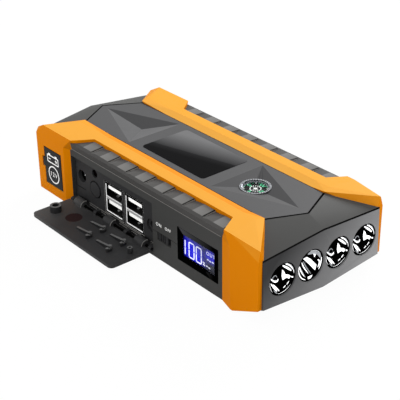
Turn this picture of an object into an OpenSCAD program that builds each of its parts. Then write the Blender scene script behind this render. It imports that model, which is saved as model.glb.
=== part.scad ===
// Portable jump starter pack: a two-part dark housing with four orange-framed
// corners, a drop-down port door, a compass, a display and four lamps.
// X runs along the length (lamps at +X), Y across (ports face -Y), Z up.
// The origin lies in the middle of the underside.

/* [Housing] */
// Length of the dark housing
body_len = 175; // [168:1:190]
// Width of the dark housing, without the orange frames
body_w = 71.4; // [70:0.5:80]
// Height of the flat top face
body_h = 37.8; // [36.5:0.5:44]
// Width of the flat top face between the rails
top_w = 36.4; // [34:0.5:40]
// Height at which the side walls turn into the shoulders
side_h = 32.3; // [31.5:0.1:33.5]
// Wall thickness of both shells
wall = 2.2; // [1.8:0.1:2.6]
// Height of the line where the two shells meet
parting_h = 14.5; // [13:0.5:16]
// Length of the front bevel at the corners
bevel_len = 18; // [15:0.5:20]
// Length of the front bevel on the centre line
bevel_mid_len = 9.5; // [7:0.5:12]
// Length of the rear bevel at the corners
rear_bevel_len = 21.7; // [18:0.1:24]
// Length of the rear bevel on the centre line
rear_bevel_mid_len = 10.9; // [8:0.1:13]
// How far the rear corners stand back from the middle of the rear face
rear_sweep = 4.6; // [3:0.1:5]
// Height of the end face at its side edges
end_side_h = 32; // [31:0.5:33]
// Height of the end face on the centre line
end_mid_h = 34.1; // [33.5:0.1:35]
// Length of the upward cut under the front end
keel_len = 16.5; // [12:0.5:20]
// Length of the upward cut under the rear end
rear_keel_len = 5; // [4:0.5:8]
// Height of that cut at the side edges
keel_h = 7.8; // [5:0.2:9]
// Height of that cut on the centre line
keel_mid_h = 5; // [3:0.2:5]
// How far the foot of the front face leans out
end_lean = 1.2; // [0:0.1:2]
// Thickness of the two end caps
cap_t = 2.6; // [2:0.1:4]
// Width of the visible seam between housing parts
seam = 0.3; // [0.2:0.05:0.4]

/* [Top panel] */
// Thickness of the top panel
top_panel_t = 3; // [2.8:0.1:3.2]
// Depth of the two faceted hollows
star_depth = 1.9; // [1.6:0.1:2.1]
// Distance of the hollows' deepest points from the middle
star_x = 42; // [40:0.5:45]
// Distance of the hollows' broad side from the middle
star_base_x = 31; // [28:0.5:33]
// Distance of the hollows' outer tips from the middle
star_tip_x = 72; // [69:0.5:73]
// Half the width of the hollows' broad side
star_half_w = 16.2; // [14:0.2:16.8]
// Length of the label plate
label_len = 46.5; // [40:0.5:54]
// Width of the label plate
label_w = 28.6; // [24:0.2:31]
// Thickness of the label plate
label_t = 0.8; // [0.5:0.1:1]
// Height of the label plate above the top face
label_proud = 0.2; // [0.1:0.05:0.4]

/* [Orange frames] */
// Rise of the rails' ridge above the top face
rail_rise = 1.4; // [0.8:0.1:2]
// Distance of the ridge from the rail's inner edge
ridge_in = 4.3; // [3:0.1:5]
// Width of a rail
rail_w = 10.2; // [9.6:0.1:10.6]
// Fall from the ridge to the rail's outer edge
rail_fall = 0.4; // [0.2:0.1:1]
// How far the legs stand out from the housing's sides
leg_t = 2.2; // [2:0.1:3]
// Height of the lower edge of the legs' top chamfer
leg_chamfer_h = 32; // [30.5:0.1:32.5]
// Height of the upper edge of that chamfer
leg_top_h = 38.2; // [37.4:0.1:38.4]
// How far that upper edge stands back from the legs' face
leg_chamfer_in = 0.2; // [0.2:0.1:0.8]
// Length of the front legs' face
front_leg_len = 18.2; // [16:0.2:22]
// Length of the rear legs' face, which holds the start socket
rear_leg_len = 25; // [24:0.2:27]
// Gap between the rear legs' outer end and the end of the housing
rear_leg_gap = 4.8; // [4.2:0.2:5.4]
// Length of the slanted inner flank at the foot of the front legs
front_flank = 7.2; // [5:0.2:8]
// Length of the slanted inner flank at the foot of the rear legs
rear_flank = 3; // [2.4:0.2:3]
// Length of that flank at the top of the front legs
front_top_flank = 3.8; // [3:0.2:6]
// Length of that flank at the top of the rear legs
rear_top_flank = 7; // [5:0.2:8]
// Length over which the front legs' upper edge falls to the end
front_tip_len = 17.6; // [10:0.2:18]
// Length over which the rear legs' upper edge falls to the end
rear_tip_len = 7; // [5:0.2:9]
// Fall of the front legs' upper edge to the end
front_tip_fall = 1.5; // [1:0.1:2]
// Fall of the rear legs' upper edge to the end
rear_tip_fall = 3.6; // [3:0.1:4]
// Reach of the front legs' sloping shoulder along the rail
front_flare = 8.6; // [7:0.2:10]
// Reach of the rear legs' sloping shoulder along the rail
rear_flare = 14.6; // [12:0.2:16]

/* [Grips] */
// Number of pads on each ribbed grip
grip_pads = 8; // [6:1:10]
// Thickness of the grips beside the rails
grip_t = 3; // [2.2:0.1:3.2]
// How far the grips stand out from the housing's sides
grip_out = 1.6; // [1:0.1:1.8]
// Depth of the step between two pads
grip_step = 0.8; // [0.6:0.1:1.4]
// Length of the ramp at the start of each pad
grip_ramp = 6.4; // [4:0.2:7]
// Gap between a grip and the frame around it
grip_gap = 0.3; // [0.2:0.1:0.5]

/* [Port bay] */
// Gap between the near rear leg's flank and the port bay
bay_gap = 0.1; // [0.1:0.1:0.5]
// Height of the port bay's floor
bay_z0 = 2.2; // [2.1:0.1:2.4]
// Height of the port bay's top
bay_z1 = 28.2; // [28:0.1:29]
// Depth of the bay's face behind the side wall
bay_depth = 2; // [1.8:0.1:2.1]
// Thickness of the bay's panel
bay_t = 2; // [1.8:0.1:2.4]
// Height of the centres of the paired charging sockets
usb_z = 14.9; // [14.6:0.1:15.6]
// Distance between the two paired sockets
usb_pitch = 16.5; // [16.2:0.1:16.8]
// Distance of the left pair's centre from the bay's left end
usb_in = 33.4; // [33:0.1:33.6]
// Width of one socket shell
usb_w = 13.7; // [13.2:0.1:14]
// Height of a pair of stacked socket shells
usb_h = 16.4; // [16:0.1:16.8]
// Gap around a socket shell in the panel
usb_gap = 0.5; // [0.3:0.1:0.6]
// Depth of a socket shell
usb_depth = 14; // [12:0.5:15]
// Distance of the charging input from the bay's left end
dc_in = 6.3; // [6:0.1:6.6]
// Height of the charging input
dc_z = 18.1; // [17.6:0.1:18.6]
// Bore radius of the charging input
dc_r = 3.4; // [3.2:0.1:3.6]
// Distance of the power button from the bay's left end
button_in = 17.7; // [17.4:0.1:18]
// Height of the power button
button_z = 15; // [14.6:0.1:15.6]
// Radius of the power button
button_r = 4.3; // [4:0.1:4.4]
// Travel of the power button
button_travel = 0.8; // [0.5:0.1:1]
// Height of the pilot lamp
pilot_z = 23.8; // [23.4:0.1:24.4]
// Radius of the pilot lamp
pilot_r = 2.2; // [1.8:0.1:2.4]
// Distance of the small output jack from the bay's right end
jack_in = 3.8; // [3.6:0.1:4]
// Height of the small output jack
jack_z = 14; // [13.4:0.1:15]
// Bore radius of the small output jack
jack_r = 1.8; // [1.7:0.1:2]

/* [Port door] */
// Distance of the hinge axis in front of the side wall
hinge_out = 0.7; // [0.6:0.05:0.8]
// Height of the hinge axis
hinge_z = 3.9; // [3.9:0.05:4.1]
// Radius of the hinge pin
hinge_pin_r = 0.6; // [0.5:0.05:0.7]
// Radius of the hub around the pin
hub_r = 1.4; // [1.3:0.05:1.5]
// Radius of the rounded knuckles
knuckle_r = 2.9; // [2.7:0.05:3]
// Width of a hinge knuckle
knuckle_w = 6.6; // [5:0.2:8]
// Distance between the hinge knuckles
knuckle_pitch = 25.4; // [24.6:0.2:26]
// Width of a hinge lug on the bay's panel
lug_w = 2; // [1.6:0.2:2.4]
// Thickness of the door
door_t = 1.6; // [1.4:0.1:1.8]
// Reach of the door from its hinge axis
door_len = 24.3; // [23.4:0.1:24.4]
// Distance of the door's inner face behind its hinge axis
door_in = 0.2; // [0.1:0.05:0.3]
// How far the door reaches past the ends of the bay
door_side = 0.2; // [-0.2:0.05:0.2]
// Radius of the door's outer corners
door_corner_r = 2.5; // [1:0.5:4]
// Angle by which the door hangs open
door_open = 90; // [80:0.5:90]
// Length of the charging input's plug on the door
dc_plug_len = 3.4; // [3:0.1:3.8]
// Radial clearance of pins that turn
pin_gap = 0.06; // [0.04:0.01:0.1]
// Gap left around moving parts
move_gap = 0.4; // [0.3:0.05:0.45]

/* [Display and switch] */
// Gap between the display and the near front leg's flank
lcd_gap = 2.7; // [2.2:0.1:3.6]
// Height of the display's centre
lcd_z = 15.6; // [15.2:0.1:16.4]
// Width of the display frame
lcd_w = 28.4; // [27:0.2:29]
// Height of the display frame
lcd_h = 17.4; // [16:0.2:18]
// Width of the display's frame border
lcd_border = 2.6; // [2:0.1:3]
// Gap between the slide switch's window and the display
switch_gap = 4.9; // [4.2:0.1:5.6]
// Gap between the port bay and the slide switch's window
switch_bay_gap = 3.5; // [2.8:0.1:4]
// Height of the slide switch
switch_z = 12.5; // [12.2:0.1:13]
// Width of the slide switch's window
switch_w = 10.2; // [9.6:0.2:11]
// Height of the slide switch's window
switch_h = 4.6; // [4:0.1:5]
// Travel of the slide switch
switch_travel = 2; // [1.6:0.1:3]

/* [Compass] */
// Place of the compass along the top
compass_x = 43.8; // [43:0.1:44.6]
// Outer radius of the compass
compass_r = 7.4; // [6.6:0.1:7.8]
// Height of the compass capsule
compass_h = 6; // [5.6:0.1:6.4]
// How far the compass sits below the top face
compass_sink = 0.4; // [0:0.1:0.6]

/* [Lamps] */
// Distance between neighbouring lamps
lamp_pitch = 16.8; // [16.6:0.1:17]
// Offset of the row of lamps from the middle
lamp_offset = 1; // [0:0.1:1.2]
// Outer radius of a lamp
lamp_r = 7.8; // [7:0.1:8]
// Height of the lamps' centres
lamp_z = 18.7; // [18:0.1:19.5]
// How far a lamp's lens sits behind the end face
lens_in = 0.8; // [0:0.1:1]
// Depth of a reflector
lamp_depth = 7; // [6:0.5:9]

/* [Start socket] */
// Distance of the socket's centre from the left end of the housing
start_in = 19; // [18:0.2:20]
// Height of the socket's centre
start_z = 15.8; // [15.2:0.2:16.4]
// Width of the cover
cover_w = 15.2; // [15:0.1:15.8]
// Height of the cover
cover_h = 20.4; // [20:0.1:21.4]
// Thickness of the cover
cover_t = 1.8; // [1.6:0.1:2]
// Width of the socket's cavity
start_w = 9; // [8.6:0.1:9.4]
// Height of the socket's cavity
start_h = 17; // [16:0.1:17.4]
// Depth of the socket's cavity
start_depth = 10; // [8:0.5:12]
// Distance between the two contacts
contact_pitch = 10; // [9.4:0.1:10.4]
// Radius of a contact
contact_r = 2.2; // [1.8:0.1:2.4]

/* [Inside] */
// Number of battery cells
cell_count = 4; // [3:1:4]
// Thickness of one cell
cell_t = 6.4; // [5.5:0.1:6.6]
// Length of a cell
cell_len = 112; // [90:1:113]
// Width of a cell
cell_w = 39; // [34:0.5:39]
// Distance of the cells' left end from the middle
cell_left = 52; // [48:0.5:53]
// Height of the battery tray
tray_h = 12; // [8:0.5:14]
// Thickness of the battery tray's walls
tray_wall = 1.4; // [1:0.1:1.6]
// Size of the parts on the main board
part_len = 8; // [5:0.5:10]
// Distance between the parts on the main board
part_pitch = 16; // [14:0.5:18]
// Height of the parts on the main board
part_h = 12; // [6:0.5:14]
// Length of the start relay
relay_len = 14; // [10:0.5:14]
// Width of the start relay
relay_w = 20; // [14:0.5:20]
// Height of the start relay
relay_h = 18; // [14:0.5:20]
// Length of the case screws' shanks
screw_len = 19; // [15:0.5:20]
// Thickness of the circuit boards
board_t = 1.6; // [1.2:0.1:2]
// Radius of the case screws
screw_r = 1.4; // [1.2:0.1:1.6]

/* [Hidden] */
$fn = 64;
eps = 0.01;
big = 400;
shell_colour = "#4f4f50";
panel_colour = "#3c3c3e";
orange = "#ee8f06";
black = "#161617";

half_l = body_len / 2;
half_w = body_w / 2;
half_top = top_w / 2;
side_y = -half_w;
bay_y = side_y + bay_depth;
bay_back = bay_y + bay_t;
top_floor = body_h - top_panel_t;
board_y = bay_y + usb_depth;
cell_y0 = board_y + board_t + 3.4;
cell_x0 = -cell_left;
lamp_back = half_l - cap_t - lamp_depth;
ridge_y = half_top + ridge_in;
ridge_z = body_h + rail_rise;
rail_y = half_top + rail_w;
rail_z = ridge_z - rail_fall;
leg_y = half_w + leg_t;
front_leg_x = half_l - 0.2 - front_leg_len;
rear_leg_x = half_l - rear_leg_gap - rear_leg_len;
lcd_x = front_leg_x - front_flank - lcd_gap - lcd_w / 2;
switch_x = lcd_x - lcd_w / 2 - switch_gap - switch_w / 2;
bay_x0 = -rear_leg_x + rear_flank + bay_gap;
bay_x1 = switch_x - switch_w / 2 - switch_bay_gap;
dc_x = bay_x0 + dc_in;
button_x = bay_x0 + button_in;
usb_x = bay_x0 + usb_in;
jack_x = bay_x1 - jack_in;
leg_top_y = leg_y - leg_chamfer_in;
shoulder_slope = (body_h - side_h) / (half_w - half_top);

// Height of the sloping shoulder at a distance from the centre line
function shoulder_z(y) = body_h - (y - half_top) * shoulder_slope;

// Corner points of one end of the dark housing, for the end at +X
function end_points(bevel, mid_bevel, keel, lean, sweep) = concat(
    [for (k = [-1, 1]) each [
        [half_l - bevel, k * half_top, body_h],
        [half_l - bevel, k * half_w, side_h],
        [half_l - sweep, k * half_w, end_side_h],
        [half_l - sweep + lean * (end_side_h - keel_h) / end_side_h, k * half_w, keel_h],
        [half_l - keel, k * half_w, 0]]],
    [[half_l - mid_bevel, 0, body_h], [half_l, 0, end_mid_h], [half_l + lean, 0, keel_mid_h]]);

function mirror_x(points) = [for (p = points) [-p[0], p[1], p[2]]];

// Convex body with the given corner points
module point_hull(points) {
    hull() polyhedron(points = points, faces = [[for (i = [0:len(points) - 1]) i]]);
}

// Whole dark housing as one closed form
module body_form() {
    point_hull(concat(
        end_points(bevel_len, bevel_mid_len, keel_len, end_lean, 0),
        mirror_x(end_points(rear_bevel_len, rear_bevel_mid_len, rear_keel_len, 0, rear_sweep))));
}

// Region of an end cap, drawn at +X: below the bevel and outside the cap's inner face
module cap_region(sweep, gap) {
    mid = half_l - cap_t - gap;
    edge = end_side_h - 0.4 + gap;
    far = half_w + 5;
    intersection() {
        rotate([90, 0, 90]) linear_extrude(half_l + 10)
            polygon([[-far, -1], [far, -1], [far, edge], [half_w, edge],
                [0, end_mid_h - 0.4 + gap], [-half_w, edge], [-far, edge]]);
        translate([0, 0, -2]) linear_extrude(body_h + 4)
            polygon([[mid, 0], [mid - sweep, half_w], [mid - sweep, far], [half_l + 5, far],
                [half_l + 5, -far], [mid - sweep, -far], [mid - sweep, -half_w]]);
    }
}

// Region of the top panel
module top_region(gap) {
    front = half_l - bevel_len + gap;
    rear = -half_l + rear_bevel_len - gap;
    side = half_top + gap;
    translate([0, 0, top_floor - gap])
        linear_extrude(10)
            polygon([[front, side], [half_l - bevel_mid_len + gap, 0], [front, -side],
                [rear, -side], [-half_l + rear_bevel_mid_len - gap, 0], [rear, side]]);
}

// Box given by its lowest and highest corner
module span(lo, hi) {
    translate(lo) cube([hi[0] - lo[0], hi[1] - lo[1], hi[2] - lo[2]]);
}

// Cylinder along Y from y0 to y1
module rod_y(x, y0, y1, z, r) {
    translate([x, y0, z]) rotate([-90, 0, 0]) cylinder(h = y1 - y0, r = r);
}

// Cylinder along X from x0 to x1
module rod_x(x0, x1, y, z, r) {
    translate([x0, y, z]) rotate([0, 90, 0]) cylinder(h = x1 - x0, r = r);
}

// Places of the case screws: four beyond the ends of the tray, one beside it
head_r = screw_r + 1;
jack_half = 4.6;
boss_r = head_r + 1.4;
screw_x0 = cell_x0 - tray_wall - 0.4 - boss_r;
screw_x1 = cell_x0 + cell_len + tray_wall + 0.8 + boss_r;
screw_y = half_w - wall - 6.5;
screws = [[screw_x1, screw_y], [screw_x1, -screw_y], [screw_x0, screw_y],
    [dc_x - jack_half - 0.9 - boss_r, -screw_y],
    [4, cell_y0 + cell_w + 0.2 + tray_wall + 0.5 + boss_r]];
module at_screws() {
    for (p = screws) translate([p[0], p[1], 0]) children();
}

// Hollow common to both shells, with the windows in the side walls
module shell_space() {
    side = half_w - wall;
    roof = side_h - 1.8;
    rear_x = -half_l + rear_sweep + cap_t + 1;
    span([rear_x, -side, wall], [half_l - keel_len - 1, side, roof]);
    span([rear_x, -side, keel_h + wall], [lamp_back + 0.05, side, roof]);
    span([-half_l + rear_bevel_len + 4, -half_top + 2, roof - 1],
        [half_l - bevel_len - 5, half_top - 2, top_floor - 2]);
    span([bay_x0, side_y - 1, bay_z0], [bay_x1, -side + eps, bay_z1]);
    span([lcd_x - lcd_w / 2, side_y - 1, lcd_z - lcd_h / 2],
        [lcd_x + lcd_w / 2, -side + eps, lcd_z + lcd_h / 2]);
    span([switch_x - switch_w / 2, side_y - 1, switch_z - switch_h / 2],
        [switch_x + switch_w / 2, -side + eps, switch_z + switch_h / 2]);
    span([start_x - start_w / 2 - start_wall - 0.1, side_y - 1, start_z - start_h / 2 - start_wall - 0.1],
        [start_x + start_w / 2 + start_wall + 0.1, side_y + start_depth + 8,
            start_z + start_h / 2 + start_wall + 0.1]);
    cap_region(0, seam);
    mirror([1, 0, 0]) cap_region(rear_sweep, seam);
    lamp_bank(lamp_r + 0.1, lamp_back, half_l);
}

// Four round columns, one for each lamp
lamp_places = [for (i = [-1.5:1:1.5]) lamp_offset + i * lamp_pitch];
module lamp_bank(r, x0, x1) {
    for (y = lamp_places) rod_x(x0, x1, y, lamp_z, r);
}

module lower_shell() {
    color(shell_colour) difference() {
        union() {
            difference() {
                body_form();
                translate([-big / 2, -big / 2, parting_h - seam / 2]) cube([big, big, 60]);
                shell_space();
            }
            at_screws() translate([0, 0, 1]) cylinder(h = parting_h - seam / 2 - 1, r = boss_r);
        }
        at_screws() translate([0, 0, -1]) cylinder(h = 6, r = head_r + 0.2);
        at_screws() translate([0, 0, -1]) cylinder(h = 30, r = screw_r + 0.2);
    }
}

module upper_shell() {
    color(shell_colour) difference() {
        union() {
            difference() {
                body_form();
                translate([-big / 2, -big / 2, parting_h + seam / 2 - 60]) cube([big, big, 60]);
                shell_space();
            }
            at_screws() translate([0, 0, parting_h + seam / 2])
                cylinder(h = side_h - 1.5 - parting_h, r = boss_r);
        }
        top_region(seam);
        at_screws() translate([0, 0, parting_h - 1]) cylinder(h = 11, r = screw_r);
        translate([compass_x, 0, top_floor - 6]) cylinder(h = 10, r = compass_r - 0.6);
    }
}

// Three-sided shallow hollow, with its deepest point at star_x
module star_hollow() {
    tips = [[star_base_x, star_half_w, body_h], [star_base_x, -star_half_w, body_h],
        [star_tip_x, 0, body_h]];
    above = [for (p = tips) [p[0], p[1], p[2] + 1]];
    point_hull(concat(tips, above, [[star_x, 0, body_h - star_depth]]));
}

module top_panel() {
    color(shell_colour) difference() {
        intersection() {
            top_region(0);
            body_form();
        }
        star_hollow();
        mirror([1, 0, 0]) star_hollow();
        translate([0, 0, body_h + label_proud - label_t]) rounded_plate(label_len, label_w, 2, 5);
        translate([compass_x, 0, top_floor - 1]) cylinder(h = 10, r = compass_r);
    }
}

// Plate with round corners, standing on its own origin
module rounded_plate(l, w, r, h) {
    linear_extrude(h) hull()
        for (x = [-1, 1], y = [-1, 1])
            translate([x * (l / 2 - r), y * (w / 2 - r)]) circle(r, $fn = 32);
}

module label_plate() {
    color(black) translate([0, 0, body_h + label_proud - label_t])
        rounded_plate(label_len, label_w, 2, label_t);
}

module front_end_cap() {
    color(shell_colour) difference() {
        intersection() {
            body_form();
            cap_region(0, 0);
        }
        lamp_bank(lamp_r, half_l - cap_t - 1, half_l + 5);
    }
}

module rear_end_cap() {
    color(shell_colour) intersection() {
        body_form();
        mirror([1, 0, 0]) cap_region(rear_sweep, 0);
    }
}

// Rail of a frame at +Y: a low ridge along the edge of the top face
module rail() {
    rail_x0 = -rear_leg_x + rear_flare - 0.5;
    rail_x1 = front_leg_x - front_flare + 0.5;
    translate([rail_x0, 0, 0]) rotate([90, 0, 90]) linear_extrude(rail_x1 - rail_x0)
        polygon([[half_top, side_h], [half_top, body_h], [ridge_y, ridge_z], [rail_y, rail_z],
            [rail_y, side_h]]);
}

// Leg at the +X +Y corner. Its face runs from x_face to x_end. The flank slants
// back to the housing by foot_flank below and top_flank above, and the shoulder
// flares out along the rail by flare. The upper edge falls towards the end.
module leg(x_face, x_end, foot_flank, top_flank, flare, tip_len, tip_fall, bevel, keel) {
    rail_end = x_face - flare;
    foot_x = x_face - foot_flank;
    top_x = x_face - top_flank;
    foot_z = max(0, keel_h * (x_end - half_l + keel) / keel);
    // Leg below its chamfer
    point_hull([
        [x_face, leg_y, leg_chamfer_h], [x_end, leg_y, leg_chamfer_h],
        [x_face + 0.6, leg_y, 0], [half_l - keel, leg_y, 0], [x_end, leg_y, foot_z],
        [foot_x, half_w, leg_chamfer_h], [foot_x, half_w, 0], [foot_x, half_w - 2, 0],
        [foot_x, half_w - 2, leg_chamfer_h], [x_end, half_w - 2, foot_z],
        [x_end, half_w - 2, leg_chamfer_h]]);
    // Shoulder from the rail to the leg's upper edges
    point_hull([
        [rail_end, half_top, body_h], [rail_end, ridge_y, ridge_z], [rail_end, rail_y, rail_z],
        [half_l - bevel - 1, ridge_y, ridge_z],
        [half_l - bevel + 0.2, half_top + 0.2, body_h + 0.8],
        [top_x, leg_top_y, leg_top_h], [x_end - tip_len, leg_top_y, leg_top_h],
        [x_end - 0.3, leg_top_y - 1.1, leg_top_h - tip_fall],
        [x_end, half_w, end_side_h + 1.2],
        [x_face, leg_y, leg_chamfer_h], [x_end, leg_y, leg_chamfer_h],
        [foot_x, half_w, leg_chamfer_h], [x_end, half_w - 2, leg_chamfer_h - 3],
        [rail_end, half_top, side_h - 4], [rail_end, rail_y, side_h - 4]]);
}

module front_leg() {
    leg(front_leg_x, half_l - 0.2, front_flank, front_top_flank, front_flare,
        front_tip_len, front_tip_fall, bevel_len, keel_len);
}

module rear_leg() {
    mirror([1, 0, 0]) leg(rear_leg_x, half_l - rear_leg_gap, rear_flank, rear_top_flank,
        rear_flare, rear_tip_len, rear_tip_fall, rear_bevel_len, rear_keel_len);
}

// One orange frame at +Y: two legs joined by the rail, lying on the housing
module frame_at_far_side() {
    difference() {
        union() {
            rail();
            front_leg();
            rear_leg();
        }
        body_form();
    }
}

module far_frame() {
    color(orange) frame_at_far_side();
}

module near_frame() {
    color(orange) difference() {
        mirror([0, 1, 0]) frame_at_far_side();
        cover_space();
    }
}

// Ribbed grip on the shoulder at +Y, between the rail and the two legs. A section
// along X is cut by a sawtooth along Y, and it stands clear of both legs.
module grip_at_far_side() {
    y0 = rail_y + grip_gap;
    y1 = half_w + grip_out;
    top = shoulder_z(y0) + grip_t;
    low = top - grip_step;
    x0 = -rear_leg_x + 1;
    x1 = front_leg_x - 1;
    pad_x0 = -rear_leg_x + rear_top_flank + 1.8;
    pad_x1 = front_leg_x - front_top_flank - 1.8;
    pitch = (pad_x1 - pad_x0) / grip_pads;
    difference() {
        intersection() {
            translate([x0, 0, 0]) rotate([90, 0, 90]) linear_extrude(x1 - x0)
                polygon([[y0, side_h], [y0, top], [y1 - 1.6, top - 0.5], [y1, top - 1.2],
                    [half_w + 0.2, side_h + 0.2], [half_w - 1, side_h]]);
            translate([0, y1 + 1, 0]) rotate([90, 0, 0]) linear_extrude(y1 + 1)
                polygon(concat([[pad_x0 - pitch, side_h - 1]],
                    [for (i = [-1:grip_pads]) each [
                        [pad_x0 + i * pitch, low], [pad_x0 + i * pitch + grip_ramp, top],
                        [pad_x0 + (i + 1) * pitch, top]]],
                    [[pad_x1 + pitch, side_h - 1]]));
        }
        body_form();
        translate([-grip_gap, 0, 0]) front_leg();
        translate([grip_gap, 0, 0]) rear_leg();
    }
}

module far_grip() {
    color(panel_colour) grip_at_far_side();
}

module near_grip() {
    color(panel_colour) mirror([0, 1, 0]) grip_at_far_side();
}

// Port bay ------------------------------------------------------------

hinge_y = side_y - hinge_out;
bay_mid = (bay_x0 + bay_x1) / 2;
knuckles = [for (i = [-1:1]) bay_mid + i * knuckle_pitch];
module at_usb() {
    for (i = [0, 1]) translate([usb_x + i * usb_pitch, 0, usb_z]) children();
}

// The bay's panel, with four lugs for the hinge pin and a trough for each knuckle
module port_panel() {
    side = side_y + wall;
    floor_z = max(bay_z0, wall) + 0.1;
    color(panel_colour) difference() {
        union() {
            span([bay_x0 + 0.1, bay_y, floor_z], [bay_x1 - 0.1, bay_back, bay_z1 - 0.1]);
            span([bay_x0 - 1.5, side + 0.05, floor_z], [bay_x1 + 1, bay_back, bay_z1 + 1.5]);
            for (x = [bay_x0 + 0.1 + lug_w / 2, bay_mid - knuckle_pitch / 2,
                    bay_mid + knuckle_pitch / 2, bay_x1 - 0.1 - lug_w / 2]) {
                rod_x(x - lug_w / 2, x + lug_w / 2, hinge_y, hinge_z, hinge_pin_r + 0.5);
                span([x - lug_w / 2, hinge_y, hinge_z - hinge_pin_r - 0.5],
                    [x + lug_w / 2, bay_y + 0.1, hinge_z + hinge_pin_r + 0.5]);
            }
        }
        at_usb() span([-usb_w / 2 - usb_gap, bay_y - 1, -usb_h / 2 - usb_gap],
            [usb_w / 2 + usb_gap, bay_back + 2, usb_h / 2 + usb_gap]);
        rod_y(dc_x, bay_y - 1, bay_back + 1, dc_z, dc_r);
        rod_y(button_x, bay_y - 1, bay_back + 1, button_z, button_r + move_gap);
        rod_y(button_x, bay_y - 1, bay_back + 1, pilot_z, pilot_r);
        rod_y(jack_x, bay_y - 1, bay_back + 1, jack_z, jack_r);
        rod_y(jack_x, bay_y - 1, bay_y + 1, jack_z, jack_r + 1.5);
        for (x = knuckles) rod_x(x - knuckle_w / 2 - move_gap, x + knuckle_w / 2 + move_gap,
            hinge_y, hinge_z, knuckle_r + move_gap);
        rod_x(bay_x0 - 1, bay_x1 + 1, hinge_y, hinge_z, hinge_pin_r + 0.02);
    }
}

module door_hinge_pin() {
    color("silver") rod_x(bay_x0 + 0.2, bay_x1 - 0.2, hinge_y, hinge_z, hinge_pin_r);
}

// Puts a piece of the door, drawn closed with its hinge axis along X through the
// origin and its inner face at Y = door_in, into the position of the open door
module hung_open() {
    translate([0, hinge_y, hinge_z]) rotate([door_open, 0, 0]) children();
}

// Round stub on the door's inner face, facing the point (x, z) of the bay
module door_stub(x, z, h, r, bore) {
    translate([x, door_in, z - hinge_z]) rotate([-90, 0, 0]) difference() {
        cylinder(h = h, r = r);
        if (bore > 0) translate([0, 0, 0.8]) cylinder(h = h, r = bore);
    }
}

module port_door() {
    half = (bay_x1 - bay_x0) / 2 + door_side;
    low = hub_r + 0.3;
    r = door_corner_r;
    color(panel_colour) hung_open() difference() {
        union() {
            translate([bay_mid, door_in, 0]) rotate([90, 0, 0]) linear_extrude(door_t) {
                polygon([[-half, low], [half, low], [half, door_len - r], [half - r, door_len],
                    [-half + r, door_len], [-half, door_len - r]]);
                for (k = [-1, 1]) translate([k * (half - r), door_len - r]) circle(r);
            }
            for (x = knuckles) translate([x - knuckle_w / 2, 0, 0]) {
                rod_x(0, knuckle_w, 0, 0, hub_r);
                span([0, door_in - door_t, 0], [knuckle_w, door_in, low + 0.1]);
                intersection() {
                    rod_x(0, knuckle_w, 0, 0, knuckle_r);
                    rotate([90, 0, 90]) linear_extrude(knuckle_w)
                        polygon([[0, 0], [10, -4.6], [10, 10], [0, 10]]);
                }
            }
        }
        rod_x(-big, big, 0, 0, hinge_pin_r + pin_gap);
        translate([button_x, door_in + 1, button_z - hinge_z]) rotate([90, 0, 0])
            cylinder(h = door_t + 2, r = button_r);
    }
}

module door_button_pad() {
    color("#3a2226") hung_open() translate([button_x, door_in - 0.1, button_z - hinge_z])
        rotate([90, 0, 0]) cylinder(h = door_t - 0.2, r = button_r);
}

// Soft plugs on the door's inner face, each facing its socket
module door_pads() {
    color(black) hung_open() {
        door_stub(dc_x, dc_z, dc_plug_len, dc_r - 0.5, dc_r - 1.7);
        door_stub(jack_x, jack_z, 3, jack_r - 0.5, 0.7);
        for (i = [0, 1], k = [-1, 1])
            translate([usb_x + i * usb_pitch, door_in, usb_z + k * usb_h / 4 - hinge_z]) {
                linear_extrude(1.2) polygon([[-6, 0], [6, 0], [6, 1.9], [3.6, 1.9], [-6, 0.7]]);
                translate([4.6, 0, 0.4]) rotate([-90, 0, 0]) cylinder(h = 2.3, r = 1);
                translate([5.4, 0, 2.6]) rotate([-90, 0, 0]) cylinder(h = 1.9, r = 0.8);
                span([4.6, 0, 0.4], [6.2, 1.4, 2.6]);
            }
    }
}

// Two stacked pairs of charging socket shells
usb_metal = 0.5;
port_h = usb_h / 2 - 1.6;
module usb_shells() {
    color("silver") at_usb() difference() {
        span([-usb_w / 2, bay_y, -usb_h / 2], [usb_w / 2, board_y, usb_h / 2]);
        for (k = [-1, 1]) translate([0, 0, k * usb_h / 4])
            span([-usb_w / 2 + usb_metal, bay_y - 1, -port_h / 2],
                [usb_w / 2 - usb_metal, board_y - 1.5, port_h / 2]);
    }
}

module usb_tongues() {
    color("white") at_usb() for (k = [-1, 1]) translate([0, 0, k * usb_h / 4])
        span([-usb_w / 2 + 1, bay_y + 1.2, 0.5], [usb_w / 2 - 1, board_y - 1.5, 2.2]);
}

module dc_input_jack() {
    color(black) {
        difference() {
            span([dc_x - jack_half, bay_back, dc_z - 5.4], [dc_x + jack_half, board_y, dc_z + 5.4]);
            rod_y(dc_x, bay_y, board_y - 2, dc_z, dc_r - 0.4);
        }
        rod_y(dc_x, bay_back + 0.6, board_y - 1, dc_z, 1);
    }
}

module output_jack() {
    color(black) difference() {
        span([jack_x - 3.4, bay_back, jack_z - 3.6], [jack_x + 3.4, board_y, jack_z + 3.6]);
        rod_y(jack_x, bay_y, board_y - 2, jack_z, jack_r - 0.2);
    }
}

// Key that slides through the panel, with a collar behind it
collar_y = bay_back + move_gap;
switch_plane = collar_y + 1.2 + button_travel + 0.3;
module power_button() {
    color(panel_colour) {
        rod_y(button_x, bay_y - 0.3, collar_y + eps, button_z, button_r);
        rod_y(button_x, collar_y, collar_y + 1.2, button_z, button_r + 1.2);
    }
}

module button_switch() {
    color(black) {
        rod_y(button_x, switch_plane, switch_plane + 1.5 + eps, button_z, 1.6);
        span([button_x - 3, switch_plane + 1.5, button_z - 3], [button_x + 3, board_y, button_z + 3]);
    }
}

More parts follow.
